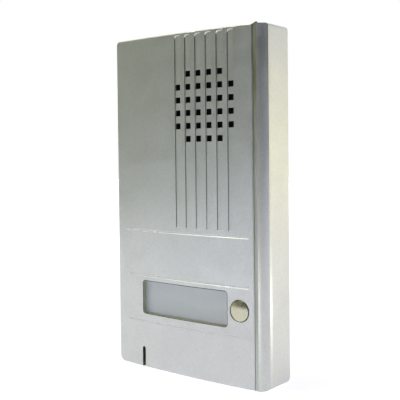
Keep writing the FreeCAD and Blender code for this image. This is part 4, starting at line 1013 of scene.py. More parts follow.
@dataclass
class Trough:
    """A long shallow cut in the face, made of stations from left to right, with sloped ends."""

    lip: float = 1.2
    foot: float = 0.8
    fade: float = 1.0
    above: float = 1.0
    past: float = 0.15
    heel: float = 0.1

    def section(self, x: float, low: float, high: float, floor: float, trench: float = -1.0) -> Ring:
        """Give the outline of the cut at one station.

        Args:
            x: Place of the station.
            low: Lower end of the cut in the face.
            high: Upper end of the cut in the face.
            floor: Depth of the floor below the face.
            trench: Least depth of the cut beside its sloped ends.

        Returns:
            Eight points, from the lower end of the floor one way round.
        """
        deep = max(floor, trench)
        shallow = self.fade * floor if floor > 0 else floor
        sunk = max(shallow, trench)
        upper, lower = high + self.lip * self.past, low - self.foot * self.past
        rows = ((low + self.foot * sunk + self.heel, shallow), (high - self.lip * deep - self.heel, floor),
                (high - self.lip * deep, deep), (upper, -self.past), (upper, -self.above),
                (lower, -self.above), (lower, -self.past), (low + self.foot * sunk, sunk))
        return [place(x, bulge(x) + depth, z) for z, depth in rows]

    def build(self, name: str, stations: Sequence[Sequence[float]], dark: Sequence[int] = (),
              plain: int = 0) -> bpy.types.Object:
        """Make the solid that cuts the trough.

        Args:
            name: Name of the solid.
            stations: Place, lower end, upper end, floor depth and perhaps trench depth of each station.
            dark: Numbers of the stations behind which the faces are shaded.
            plain: Number of stations at the left whose slopes don't get the painted highlight.

        Returns:
            The solid.
        """
        draft = Draft()
        marks = [int(number in dark) for number in range(len(stations))]
        # The sloped upper and lower lips get the painted highlight; the dark stations get painted shade.
        highlight_sides = (0, 0, 2, 0, 0, 0, 2, 0)
        draft.loft([self.section(*station) for station in stations], marks=marks, lanes=highlight_sides)
        if plain:
            limit = stations[plain][0] * MM + 1e-6
            for face in draft.mesh.faces:
                if all(vertex.co.x < limit for vertex in face.verts):
                    face.material_index = 0
        item = draft.finish(name)
        coat(item, PAINT, SHADE, LIP_HIGHLIGHT)
        return item


@dataclass
class FrontCover:
    """The moulded front: bulged face, ramp grooves, speaker holes, lines and openings."""

    left: float = -HALF_WIDTH
    right: float = 41.85
    height: float = 176.0
    solid_depth: float = 21.0
    strips: int = 44
    round_top: float = 2.2
    round_bottom: float = 3.6
    edge: float = 0.8
    skin_inset: float = 1.2
    skin_levels: Span = (-0.4, 1.3)
    skin_strips: int = 46
    speaker: Span = (13.15, 138.3)
    pitch: float = 6.58
    hole: float = 3.0
    hole_round: float = 0.22
    hole_spare: float = 0.1
    hole_flare: Span = (0.2, 0.25)
    hole_end: float = 5.2
    hole_shade_depth: float = 5.0
    columns: int = 6
    groove_width: float = 3.9
    groove_lead: float = 2.0
    groove_depth: float = 0.48
    groove_low: float = 76.4
    groove_high: float = 174.6
    groove_round: float = 1.3
    groove_trench: float = 0.26
    groove_fade: float = 0.65
    groove_reaches: tuple[float, ...] = (0.06, 0.2, 0.42, 0.75, 1.3, 2.0, 2.7, 3.3, 3.9, 4.35)
    groove_ends: Span = (3.5, 4.0)
    groove_close: float = 0.1
    line_left: float = -43.2
    line_right: float = 38.8
    line_tops: tuple[float, ...] = (74.3, 50.0, 25.6)
    line_heights: tuple[float, ...] = (1.3, 1.2, 1.0)
    line_slopes: tuple[float, ...] = (1.25, 1.0, 0.7)
    line_feet: tuple[float, ...] = (0.9, 0.9, 0.8)
    line_tip: tuple[Span, Span] = ((0.0, 0.25), (0.4, 0.35))
    line_end: float = 0.3
    line_depth: float = 0.28
    line_taper: float = 3.5
    line_steps: int = 30
    window_low: Span = (-29.7, 29.2)
    window_high: Span = (26.3, 46.6)
    window_round: float = 1.5
    window_end: float = 4.4
    window_flare: Span = (0.65, 0.1)
    button: Span = (33.4, 37.8)
    button_hole: float = 5.45
    button_end: float = 4.7
    button_flare: float = 0.2
    slot_x: float = -29.6
    slot_width: float = 1.9
    slot_spare: float = 0.12
    slot_low: float = -1.5
    slot_top: float = 11.0
    slot_depth: float = 4.06
    slot_flare: float = 0.15
    over: float = 0.02
    lead_in: float = 0.03
    proud: float = 0.15
    clear: float = 0.9

    def envelope(self) -> bpy.types.Object:
        """Make the outer form: a bulged front with rounded corners and edges.

        Returns:
            The solid, deeper than the cover.
        """
        draft = Draft()
        sheet = draft.mesh
        outline = rounded_outline((self.left + SKIN, SKIN), (self.right - self.over, self.height - SKIN),
                                  (self.round_bottom, 0.0, 0.0, self.round_top), 10)
        sheet.faces.new(draft.ring([place(x, 0.0, z) for x, z in outline]))
        for strip in range(1, self.strips):
            x = self.left + strip * (self.right - self.left) / self.strips
            parts = sheet.verts[:] + sheet.edges[:] + sheet.faces[:]
            bmesh.ops.bisect_plane(sheet, geom=parts, plane_co=place(x, 0, 0), plane_no=(1, 0, 0))
        front = list(sheet.verts)
        made = bmesh.ops.extrude_face_region(sheet, geom=sheet.faces[:], use_keep_orig=True)
        for part in made["geom"]:
            if isinstance(part, bmesh.types.BMVert):
                part.co.y = FRONT + self.solid_depth * MM
        for vertex in front:
            vertex.co.y = FRONT + (bulge(vertex.co.x / MM) + SKIN) * MM
        bmesh.ops.recalc_face_normals(sheet, faces=sheet.faces[:])
        ends = FRONT + (self.solid_depth - 1.0) * MM
        rim = [edge for edge in sheet.edges
               if edge.calc_length() > 0 and all(v.co.y < ends for v in edge.verts)
               and len(edge.link_faces) == 2
               and sorted(abs(face.normal.y) > 0.5 for face in edge.link_faces) == [False, True]]
        bmesh.ops.bevel(sheet, geom=rim, offset=self.edge * MM, offset_type="OFFSET", segments=6, profile=0.5,
                        affect="EDGES", clamp_overlap=False, material=-1)
        return draft.finish("cover_envelope")

    def ramp(self, reach: float) -> float:
        """Depth of a ramp groove below the face.

        Args:
            reach: Distance to the right of the groove's left line.

        Returns:
            The depth, below zero past the groove's right line.
        """
        return self.groove_depth * (1 - reach / self.groove_width)

    def groove_top(self, reach: float) -> float:
        """Height of a groove's rounded upper end.

        Args:
            reach: Distance to the right of the groove's left line.

        Returns:
            The height above the lower edge.
        """
        away = self.groove_round - min(max(reach, 0.0), self.groove_round)
        return self.groove_high - self.groove_round + math.sqrt(self.groove_round ** 2 - away ** 2)

    def grooves(self) -> list[bpy.types.Object]:
        """Make the solids that cut the six ramp grooves.

        Returns:
            The solids.
        """
        solids = []
        cut = Trough(fade=self.groove_fade)
        low, start = self.groove_low, self.groove_top(0)
        for column in range(self.columns):
            left = self.speaker[0] + (column - 2.5) * self.pitch - self.groove_lead - self.over
            stations: list[tuple[float, ...]] = [
                (left - self.lead_in, low, start, -cut.past), (left, low, start, self.lead_in),
                (left, low, start, self.groove_depth + self.over)]
            for reach in self.groove_reaches:
                flat, end = (reach < limit for limit in self.groove_ends)
                trench = self.groove_trench if flat else 0.0 if end else -self.groove_close
                depth = self.ramp(reach) + self.over
                stations.append((left + reach, low, self.groove_top(reach), depth, trench))
            # The faces behind station 1, the groove's left wall, get painted shade.
            solids.append(cut.build("groove_cut", stations, (1,)))
        return solids

    def lines(self) -> list[bpy.types.Object]:
        """Make the solids that cut the three fine lines.

        Returns:
            The solids.
        """
        solids = []
        depth = self.line_depth + self.over
        start = self.line_left + self.line_taper
        forms = zip(self.line_tops, self.line_heights, self.line_slopes, self.line_feet)
        for top, height, slope, foot in forms:
            cut = Trough(slope, slope * foot)
            low = top - height
            levels = (-cut.past, self.lead_in)
            stations = [(self.line_left + reach, top - tall, top, level)
                        for (reach, tall), level in zip(self.line_tip, levels)]
            for step in range(self.line_steps + 1):
                stations.append((start + step * (self.line_right - start) / self.line_steps, low, top, depth))
            stations.append((self.line_right + self.line_end, low, top, -cut.past))
            solids.append(cut.build("line_cut", stations, plain=3))
        return solids

    def opening(self, name: str, walk: Callable[[float], list[Span]], depth: float, flare: float,
                wall: Finish, surface: Callable[[float], float] = bulge, rim: Finish | None = None,
                drop: float | None = None) -> bpy.types.Object:
        """Make the solid that cuts an opening whose mouth opens a little towards the front.

        Args:
            name: Name of the solid.
            walk: Gives the outline of the opening, widened by an amount.
            depth: Depth at which the solid ends.
            flare: Width of the chamfer round the mouth.
            wall: Finish of the cut faces.
            surface: Depth of the surface that it opens in, at a place.
            rim: Finish of the chamfer, or None for the cover's own.
            drop: Depth of the chamfer, or None for as deep as wide.

        Returns:
            The solid.
        """
        draft = Draft()
        rings = []
        drop = drop or flare
        mouth = flare * (1 + self.proud / drop)
        for widen, level in ((mouth, -self.clear), (mouth, -self.proud), (0.0, drop), (0.0, None)):
            rings.append([place(x, depth if level is None else surface(x) + level, z)
                          for x, z in walk(widen)])
        draft.loft(rings, marks=(0, 0, 1, 1))
        item = draft.finish(name)
        coat(item, rim or PAINT, wall)
        return item

    def skin(self) -> bpy.types.Object:
        """Make the sheet of material that the grooves, lines and openings are cut into.

        Returns:
            A curved slab that stands proud of the face and ends inside its wall.
        """
        draft = Draft()
        rings = []
        inset = self.skin_inset
        low, high = self.skin_levels
        for step in range(self.skin_strips + 1):
            x = self.left + inset + step * (self.right - self.left - 2 * inset) / self.skin_strips
            rings.append([place(x, bulge(x) + level, z) for level, z in (
                (low, inset), (high, inset), (high, self.height - inset), (low, self.height - inset))])
        draft.loft(rings)
        slab = draft.finish("cover_skin")
        coat(slab, PAINT)
        return slab

    def hole_outline(self, widen: float) -> list[Span]:
        """Walk round one speaker hole, widened more upwards and downwards than sideways.

        Args:
            widen: Distance by which its upper and lower ends move out.

        Returns:
            Points of the outline about its middle.
        """
        half = self.hole / 2 + self.over
        side, end = half + self.hole_spare + self.hole_flare[1] * widen, half + widen
        return rounded_outline((-side, -end), (side, end), (self.hole_round,) * 4, 3)

    def perforations(self) -> bpy.types.Object:
        """Make the solids that cut the speaker holes: rows and columns without the four corners.

        Returns:
            All the solids in one mesh.
        """
        pattern = self.opening("hole_pattern", self.hole_outline, self.hole_end, self.hole_flare[0], PAINT,
                               lambda x: max(0.0, self.ramp(x + self.groove_lead)))
        plan = PiecePlan("speaker_holes", {
            "Pattern hole": ("Object", pattern), "Columns": ("Int", self.columns), "Rows": ("Int", 6),
            "Grid width": ("Float", 5 * self.pitch * MM), "Face radius": ("Float", FACE_RADIUS * MM),
            "Speaker centre": ("Vector", (self.speaker[0] * MM, 0.0, self.speaker[1] * MM))})
        given = plan.given
        grid = plan.geometry("MeshGrid", {"Size X": given["Grid width"], "Size Y": given["Grid width"],
                                          "Vertices X": given["Columns"], "Vertices Y": given["Rows"]})
        near = plan.geometry("InputMeshVertexNeighbors")
        corner = plan.add("FunctionNodeCompare", {2: near.outputs["Vertex Count"], 3: 2}, data_type="INT",
                          operation="EQUAL")
        kept = plan.geometry("DeleteGeometry", {"Geometry": grid.outputs["Mesh"],
                                                "Selection": corner.outputs[0]}, domain="POINT")
        stood = plan.geometry("Transform", {"Geometry": kept.outputs[0], "Rotation": (QUARTER, 0.0, 0.0),
                                            "Translation": given["Speaker centre"]})
        shape = plan.geometry("ObjectInfo", {"Object": given["Pattern hole"]})
        placed = plan.geometry("InstanceOnPoints", {"Points": stood.outputs[0],
                                                    "Instance": shape.outputs["Geometry"]})
        solid = plan.geometry("RealizeInstances", {0: placed.outputs[0]})
        bent = plan.geometry("SetPosition", {"Geometry": solid.outputs[0],
                                             "Offset": plan.bulge_offset(given["Face radius"])})
        item = plan.finish("speaker_hole_cuts", bent.outputs[0], PAINT)
        bpy.data.objects.remove(pattern)
        self.darken_walls(item)
        return item

    def darken_walls(self, cuts: bpy.types.Object) -> None:
        """Paint shade in near black on the walls of the holes behind their chamfers.

        Args:
            cuts: The solids that cut the holes.
        """
        coat(cuts, HOLLOW)
        shade_slot = len(cuts.data.materials) - 1
        upright = 0.1
        # Upright faces deeper than this get the near-black painted shade.
        for face in cuts.data.polygons:
            back = max(cuts.data.vertices[number].co.y for number in face.vertices)
            if abs(face.normal.y) < upright and back > FRONT + self.hole_shade_depth * MM:
                face.material_index = shade_slot

    def window_outline(self, widen: float) -> list[Span]:
        """Walk round the name window's opening.

        Args:
            widen: Distance by which it is widened.

        Returns:
            Points of the outline.
        """
        wide = widen + self.over
        return rounded_outline((self.window_low[0] - wide, self.window_low[1] - wide),
                               (self.window_high[0] + wide, self.window_high[1] + wide),
                               (self.window_round + widen,) * 4, 6, 3.0)

    def button_outline(self, widen: float) -> list[Span]:
        """Walk round the button's hole.

        Args:
            widen: Distance by which it is widened.

        Returns:
            Points of the outline.
        """
        reach = self.button_hole + self.over + widen
        return [(self.button[0] + reach * math.cos(turn), self.button[1] + reach * math.sin(turn))
                for turn in full_turn(72)]

    def slot_outline(self, widen: float) -> list[Span]:
        """Walk round the microphone's slot, which opens through the lower edge.

        Args:
            widen: Distance by which it is widened.

        Returns:
            Points of the outline.
        """
        reach = self.slot_width / 2 + self.over + self.slot_spare + widen
        ends = reach * 0.98
        return rounded_outline((self.slot_x - reach, self.slot_low),
                               (self.slot_x + reach, self.slot_top + widen), (0.0, 0.0, ends, ends), 8)

    def openings(self) -> list[bpy.types.Object]:
        """Make the solids that cut the window, the button's hole and the microphone's slot.

        Returns:
            The solids.
        """
        # Painted shade: the window's walls and chamfer, the button hole's walls and the slot's walls.
        flare, drop = self.window_flare
        return [self.opening("window_cut", self.window_outline, self.window_end, flare, WINDOW_WALL_SHADE, rim=RIM_SHADOW,
                             drop=drop),
                self.opening("button_cut", self.button_outline, self.button_end, self.button_flare, HOLLOW),
                self.opening("slot_cut", self.slot_outline, self.slot_depth + self.over, self.slot_flare,
                             SHADE)]

    def build(self) -> None:
        """Make the cover and dress it."""
        cover = frame_copy("front_cover", "front_cover_painted")
        coat(cover, PAINT)
        work(cover, self.skin(), Way.ADD)
        shell = self.envelope()
        coat(shell, PAINT)
        work(cover, shell, Way.KEEP_SHARED)
        for solid in [*self.grooves(), *self.lines(), self.perforations(), *self.openings()]:
            work(cover, solid, Way.TAKE_AWAY)
        shade(cover, 30.0)
        self.crisp_face(cover)
        weigh_normals(cover)
        clad(cover, PAINT, "silver_paint", "front_cover")

    def crisp_face(self, cover: bpy.types.Object) -> None:
        """Keep the low edges of the grooves and lines crisp, away from the rounded outer edges.

        Args:
            cover: The cover.
        """
        mesh = bmesh.new()
        mesh.from_mesh(cover.data)
        inset = self.edge + 0.3
        depth = 3.0 * MM
        angle = math.radians(3.0)
        for edge in mesh.edges:
            if len(edge.link_faces) != 2:
                continue
            inner = all(self.left + inset < v.co.x / MM < self.right - inset
                        and inset < v.co.z / MM < self.height - inset
                        and v.co.y - FRONT < depth for v in edge.verts)
            if inner and edge.calc_face_angle(0.0) > angle:
                edge.smooth = False
        mesh.to_mesh(cover.data)
        mesh.free()


@dataclass
class RearCase:
    """The back plate and the rounded rail along the right side, moulded as one."""

    half_width: float = HALF_WIDTH
    height: float = 176.0
    depth: float = 22.0
    rail_left: float = 44.0
    rail_room: Span = (1.2, -1.0)
    roll_radius: float = 7.7
    roll_end: Span = (48.6, 5.27)
    roll_steps: int = 14
    lip: Span = (0.05, 0.35)
    shoulder: float = 5.88
    shoulder_form: tuple[Span, ...] = ((0.28, 0.05), (0.1, 0.38), (0.02, 0.75), (0.0, 1.15))
    softening: float = 0.35
    round_top: float = 2.2
    round_bottom: float = 3.6

    def section(self) -> list[Span]:
        """Walk round the plan view of the rail and of the room left of it.

        Returns:
            Points right and back from the face.
        """
        start = (self.rail_left, bulge(self.rail_left) + SKIN)
        end = (self.roll_end[0] - SKIN * 0.7, self.roll_end[1] + SKIN * 0.7)
        middle = ((start[0] + end[0]) / 2, (start[1] + end[1]) / 2)
        run = (end[0] - start[0], end[1] - start[1])
        length = math.hypot(*run)
        away = math.sqrt(self.roll_radius ** 2 - length ** 2 / 4)
        centre = (middle[0] - run[1] / length * away, middle[1] + run[0] / length * away)
        angles = [math.atan2(point[1] - centre[1], point[0] - centre[0]) for point in (start, end)]
        roll = []
        for step in range(self.roll_steps + 1):
            turn = angles[0] + (angles[1] - angles[0]) * step / self.roll_steps
            roll.append((centre[0] + self.roll_radius * math.cos(turn),
                         centre[1] + self.roll_radius * math.sin(turn)))
        side, back = self.half_width - SKIN, self.depth - SKIN
        room, ahead = self.rail_room
        lip = (roll[0][0] - self.lip[0], roll[0][1] + self.lip[1])
        shoulder = [(side - inward, self.shoulder + down) for inward, down in self.shoulder_form]
        return [(-side, ahead), (self.rail_left - room, ahead), lip, *roll, *shoulder, (side, back),
                (-side, back)]

    def envelope(self) -> bpy.types.Object:
        """Make the outer form: rail, rounded corners and softened edges.

        Returns:
            The solid.
        """
        draft = Draft()
        high = self.height - SKIN
        draft.loft([[place(x, depth, z) for x, depth in self.section()] for z in (SKIN, high)])
        form = draft.finish("case_envelope")
        corners = Draft()
        outline = rounded_outline((-self.half_width + SKIN, SKIN), (self.half_width - SKIN, high),
                                  (self.round_bottom, self.round_bottom, self.round_top, self.round_top), 10)
        corners.loft([[place(x, depth, z) for x, z in outline] for depth in (-2.0, self.depth + 1.0)])
        work(form, corners.finish("case_corners"), Way.KEEP_SHARED)
        soften(form, self.softening, 3, 32.0)
        coat(form, PAINT)
        return form

    def build(self) -> None:
        """Make the case and dress it."""
        case = frame_copy("rear_case", "rear_case_painted")
        coat(case, PAINT)
        work(case, self.envelope(), Way.KEEP_SHARED)
        shade(case, 30.0)
        weigh_normals(case)
        clad(case, PAINT, "silver_paint", "rear_case")


@dataclass
class SeamStrip:
    """The elastomer strip in the seam, with its pip above the case."""

    left: float = 41.97
    right: float = 43.98
    front: float = 2.05
    back: float = 6.4
    low: float = 0.32
    high: float = 175.98
    pip: float = 0.68
    crown: tuple[Span, ...] = ((0.0, 0.35), (0.06, 0.12), (0.22, 0.02), (0.38, 0.1), (0.5, 0.16), (0.62, 0.1),
                               (0.78, 0.02), (0.94, 0.12), (1.0, 0.35))
    steps: int = 24
    nib_depths: Span = (0.12, 1.3)
    nib_root: float = -0.6
    nib_inset: Triple = (0.08, 0.12, 0.04)
    nib_rises: Triple = (0.04, 0.2, 0.02)

    def build(self) -> None:
        """Make the strip: two soft shoulders with a shallow channel between them."""
        wide = self.right - self.left
        profile = [(0.0, self.back), *((share, self.front + down) for share, down in self.crown),
                   (1.0, self.back)]
        draft = Draft()
        levels = [self.low + (self.high - self.low) * step / self.steps for step in range(self.steps + 1)]
        draft.loft([[place(self.left + share * wide, depth, level) for share, depth in profile]
                    for level in levels])
        strip = draft.finish("seam_strip_moulded", 40.0)
        # The strip's finish paints shade in the seam and light towards its bottom.
        coat(strip, STRIP)
        work(strip, self.nib(), Way.ADD)
        shade(strip, 40.0)
        clad(strip, STRIP, "seam_rubber", "seam_strip")

    def nib(self) -> bpy.types.Object:
        """Make the small pointed end that stands above the case.

        Returns:
            The solid, which reaches a little into the strip.
        """
        near, far = (self.front + depth for depth in self.nib_depths)
        foot_inset, top_inset, right_inset = self.nib_inset
        near_left, far_right, far_left = self.nib_rises
        right = self.right - right_inset
        rings = []
        for inset, rises in ((foot_inset, (self.nib_root,) * 4), (top_inset, (near_left, self.pip, far_right,
                                                                               far_left))):
            left = self.left + inset
            corners = ((left, near), (right, near), (right, far), (left, far))
            rings.append([place(x, depth, self.high + rise) for (x, depth), rise in zip(corners, rises)])
        draft = Draft()
        draft.loft(rings)
        nib = draft.finish("strip_nib")
        coat(nib, STRIP)
        return nib


@dataclass
class NameWindow:
    """The clear window and the blank card behind it."""

    low: Span = (-29.7, 29.2)
    high: Span = (26.3, 46.6)
    round: float = 1.5
    front: float = 2.4
    seat: float = 3.404
    back: float = 4.4
    play: float = 0.1
    lip: Span = (1.5, 0.7)
    edge: tuple[Span, ...] = ((0.42, 0.12), (0.2, 0.01), (0.02, 0.14), (0.0, 0.4))
    flange_round: float = 0.4
    card_low: Span = (-30.89, 28.01)
    card_high: Span = (26.69, 47.79)
    card_edge: tuple[Span, ...] = ((0.06, 4.42), (0.0, 4.47), (0.0, 4.65), (0.06, 4.69))
    card_round: float = 0.3

    def lens(self) -> None:
        """Make the window: a raised pane with polished edges on a flange."""
        gap = self.play + HAIR
        pane = [*((inset, self.front + down) for inset, down in self.edge), (0.0, self.seat)]
        rings = [framed(self.low, self.high, inset + gap, depth, self.round) for inset, depth in pane]
        low = (self.low[0] - self.lip[0] + HAIR, self.low[1] - self.lip[0] + HAIR)
        high = (self.high[0] + self.lip[1] - HAIR, self.high[1] + self.lip[0] - HAIR)
        flange = ((0.15, self.seat), (0.0, self.seat + 0.146), (0.0, self.back - HAIR))
        rings += [framed(low, high, inset, depth, self.flange_round) for inset, depth in flange]
        draft = Draft()
        draft.loft(rings)
        clad(draft.finish("name_lens_polished", 35.0), WINDOW, "clear_window", "name_lens")

    def card(self) -> None:
        """Make the card: a thin sheet with soft cut edges."""
        draft = Draft()
        draft.loft([framed(self.card_low, self.card_high, inset, depth, self.card_round, 3)
                    for inset, depth in self.card_edge])
        clad(draft.finish("name_card_blank", 50.0), CARD, "card", "name_card")

    def build(self) -> None:
        """Make the window's pieces."""
        self.lens()
        self.card()


@dataclass
class CallButton:
    """The domed metal button with its skirt and stem."""

    centre: Span = (33.4, 37.8)
    radius: float = 5.2
    crown_front: float = 0.223
    edge: float = 1.0
    roll: Triple = (0.24, 0.235, 0.26)
    skirt_end: float = 5.40
    stem_radius: float = 1.9
    stem_end: float = 9.146
    inside: float = 1.72
    wall: float = 1.0
    fillet: float = 0.2
    gap: float = 0.005
    dome_steps: int = 16
    roll_steps: int = 5

    def build(self) -> None:
        """Make the button with a rolled edge round its dome."""
        rise = self.edge - self.crown_front
        dome = (self.radius ** 2 + rise ** 2) / (2 * rise)
        roll_in, roll_out, roll_back = self.roll
        profile: list[Span] = []
        for step in range(self.dome_steps + 1):
            reach = (self.radius - roll_in) * step / self.dome_steps
            profile.append((reach, self.crown_front + HAIR + dome - math.sqrt(dome ** 2 - reach ** 2)))
        start = profile[-1][1]
        for step in range(1, self.roll_steps + 1):
            turn = math.radians(90 / self.roll_steps * step)
            profile.append((self.radius - roll_in + roll_out * math.sin(turn),
                            start + roll_back * (1 - math.cos(turn))))
        edge = self.radius - self.gap
        hollow = self.radius - self.wall + self.gap
        stem, fillet = self.stem_radius, self.fillet
        profile += [(edge, self.skirt_end - 0.15), (edge - 0.12, self.skirt_end),
                    (hollow + 0.1, self.skirt_end), (hollow, self.skirt_end - 0.12),
                    (hollow, self.inside + fillet), (hollow - fillet, self.inside),
                    (stem + fillet, self.inside), (stem, self.inside + fillet),
                    (stem, self.stem_end - 0.196), (stem - fillet, self.stem_end), (0.0, self.stem_end)]
        button = turned("call_button_polished", self.centre, profile, 96, 35.0)
        clad(button, BUTTON_METAL, "button_metal", "call_button", body="button")


@dataclass
class SpeakerMesh:
    """The woven dust mesh behind the speaker holes."""

    centre: Span = (13.15, 138.3)
    radius: float = 21.9
    front: float = 3.6
    back: float = 3.89
    pitch: float = 0.62
    wire: float = 0.075
    wave: float = 0.06

    def build(self) -> None:
        """Weave the mesh: waved wires in two directions, trimmed to a disc."""
        middle = FRONT + (self.front + self.back) / 2 * MM
        plan = PiecePlan("woven_mesh", {
            "Radius": ("Float", self.radius * MM), "Pitch": ("Float", self.pitch * MM),
            "Wire radius": ("Float", self.wire * MM), "Wave height": ("Float", self.wave * MM),
            "Centre": ("Vector", (self.centre[0] * MM, middle, self.centre[1] * MM))})
        math_of, geometry = plan.math, plan.geometry
        radius, pitch, wire = (plan.given[name] for name in ("Radius", "Pitch", "Wire radius"))
        whole = math_of("FLOOR", math_of("DIVIDE", math_of("MULTIPLY", radius, 2.0), pitch))
        count = math_of("ADD", whole, 1.0)
        half = math_of("MULTIPLY", math_of("MULTIPLY", math_of("SUBTRACT", count, 1.0), pitch), 0.5)
        less = math_of("MULTIPLY", half, -1.0)
        line, rows = (geometry("MeshLine", {"Count": count, "Start Location": plan.vector(axis, less),
                                            "Offset": plan.vector(axis, half)}, mode="END_POINTS")
                      for axis in (0, 2))
        threads = geometry("InstanceOnPoints", {"Points": rows.outputs[0], "Instance": line.outputs[0]})
        real = geometry("RealizeInstances", {0: threads.outputs[0]})
        split = plan.add("ShaderNodeSeparateXYZ", {0: geometry("InputPosition").outputs[0]})
        across, up = (math_of("ROUND", math_of("DIVIDE", math_of("ADD", split.outputs[axis], half), pitch))
                      for axis in (0, 2))
        odd = math_of("MULTIPLY", math_of("PINGPONG", math_of("ADD", across, up), 1.0), 2.0)
        wave = math_of("MULTIPLY", math_of("SUBTRACT", odd, 1.0), plan.given["Wave height"])
        waved = geometry("SetPosition", {"Geometry": real.outputs[0], "Offset": plan.vector(1, wave)})
        far = plan.add("ShaderNodeVectorMath", {0: geometry("InputPosition").outputs[0]}, operation="LENGTH")
        outside = plan.add("FunctionNodeCompare", {0: far.outputs["Value"],
                                                   1: math_of("SUBTRACT", radius, wire)},
                           data_type="FLOAT", operation="GREATER_THAN")
        disc = geometry("DeleteGeometry", {"Geometry": waved.outputs[0], "Selection": outside.outputs[0]},
                        domain="POINT")
        crossed = geometry("Transform", {"Geometry": disc.outputs[0], "Rotation": (0.0, QUARTER, 0.0),
                                         "Scale": (1.0, -1.0, 1.0)})
        both = geometry("JoinGeometry")
        for half_made in (disc, crossed):
            plan.tree.links.new(half_made.outputs[0], both.inputs[0])
        curves = geometry("MeshToCurve", {0: both.outputs[0]})
        section = geometry("CurvePrimitiveCircle", {"Resolution": 4, "Radius": wire})
        wires = geometry("CurveToMesh", {"Curve": curves.outputs[0], "Profile Curve": section.outputs[0],
                                         "Fill Caps": True})
        placed = geometry("Transform", {"Geometry": wires.outputs[0], "Translation": plan.given["Centre"]})
        woven = plan.finish("grille_mesh_woven", placed.outputs[0], MESH, sharp=50.0)
        clad(woven, MESH, "dust_mesh", "grille_mesh")


@dataclass
class CableEntry:
    """The rubber bush round the cable's way in."""

    centre: Span = (-28.0, 136.0)
    bore: float = 6.2
    hole: float = 8.95
    flange: float = 11.2
    front: float = 18.91
    seat: float = 19.99
    back: float = 21.98

    def build(self) -> None:
        """Make the bush with rounded lips at both ends of its bore."""
        flange, hole, bore = self.flange - HAIR, self.hole, self.bore
        profile = ((bore + 0.25, self.front), (self.flange - 0.3, self.front), (flange, 19.15),
                   (flange, self.seat), (hole - 0.02, self.seat), (hole - 0.02, 21.75),
                   (hole - 0.25, self.back), (bore + 0.35, self.back),
                   (bore + 0.08, 21.8), (bore + HAIR, 21.4), (bore + HAIR, 19.4), (bore + 0.07, 19.05))
        bush = turned("cable_grommet_moulded", self.centre, profile, 72, 38.0, closed=True)
        clad(bush, RUBBER, "black_rubber", "cable_grommet")


@dataclass
class WallSeal:
    """The foam frame in the back."""

    low: Span = (-46.0, 3.0)
    high: Span = (43.4, 173.0)
    front: float = 20.82
    back: float = 22.0
    round: float = 2.0
    crown: tuple[Span, ...] = ((0.03, 0.35), (0.3, 0.08), (0.9, 0.005), (2.1, 0.005), (2.7, 0.08),
                               (2.97, 0.35))

    def build(self) -> None:
        """Make the foam with a crowned back and round corners."""
        rows = [(0.03, self.front), *((inset, self.back - down) for inset, down in self.crown),
                (2.97, self.front)]
        draft = Draft()
        draft.loft([framed(self.low, self.high, inset, depth, max(0.1, self.round - inset))
                    for inset, depth in rows], closed=True)
        clad(draft.finish("wall_seal_foam", 40.0), FOAM, "black_foam", "wall_seal")


@dataclass
class CoverScrew:
    """The countersunk screw under the lower edge."""

    depth: float = 14.0
    head: float = 2.75
    shank: float = 1.25
    sink: float = 0.2
    cone: float = 1.3
    length: float = 9.0
    socket: float = 1.2
    socket_depth: float = 0.8
    pitch: float = 0.5
    thread: float = 0.22
    thread_room: Span = (0.3, 0.8)
    tip: float = 1e-3

    def socket_reach(self, turn: float) -> float:
        """Distance from the axis to the six-sided wall of the socket.

        Args:
            turn: Direction about the axis in radians.

        Returns:
            The distance.
        """
        side = math.pi / 3
        return self.socket * 0.98 * math.cos(side / 2) / math.cos((turn % side) - side / 2)

    def rows(self) -> list[tuple[bool, float, float]]:
        """List the rings from the socket's floor over the head and down the thread.

        Returns:
            Whether each ring follows the socket, its radius or distance from it, and its height.
        """
        floor, top = self.sink + self.socket_depth, self.sink + HAIR
        slope = (self.head - self.shank) / self.cone
        rows = [(False, self.tip, floor), (True, 0.0, floor - 0.1), (True, 0.0, self.sink + 0.08),
                (True, 0.1, top), (False, self.head - 0.25, top), (False, self.head - 0.03, self.sink + 0.08),
                (False, self.head - HAIR - slope * 0.12, self.sink + 0.13),
                (False, self.shank + 0.02, self.sink + self.cone - 0.02)]
        level = self.sink + self.cone + self.thread_room[0]
        while level < self.length - self.thread_room[1]:
            rows += [(False, self.shank - self.thread, level),
                     (False, self.shank - HAIR, level + self.pitch / 2)]
            level += self.pitch
        return rows + [(False, self.shank - 0.25, self.length - 0.6), (False, 0.3, self.length - 0.02),
                       (False, self.tip, self.length - HAIR)]

    def build(self) -> None:
        """Make the screw with a six-sided socket and a thread."""
        middle = place(0, self.depth, 0).y
        draft = Draft()
        rings: list[Ring] = []
        for follows, reach, level in self.rows():
            ring = []
            for turn in full_turn(48):
                out = (reach + (self.socket_reach(turn) if follows else 0.0)) * MM
                ring.append(Vector((out * math.cos(turn), middle + out * math.sin(turn), level * MM)))
            rings.append(ring)
        draft.loft(rings)
        clad(draft.finish("cover_screw_threaded", 32.0), STEEL, "screw_steel", "cover_screw")


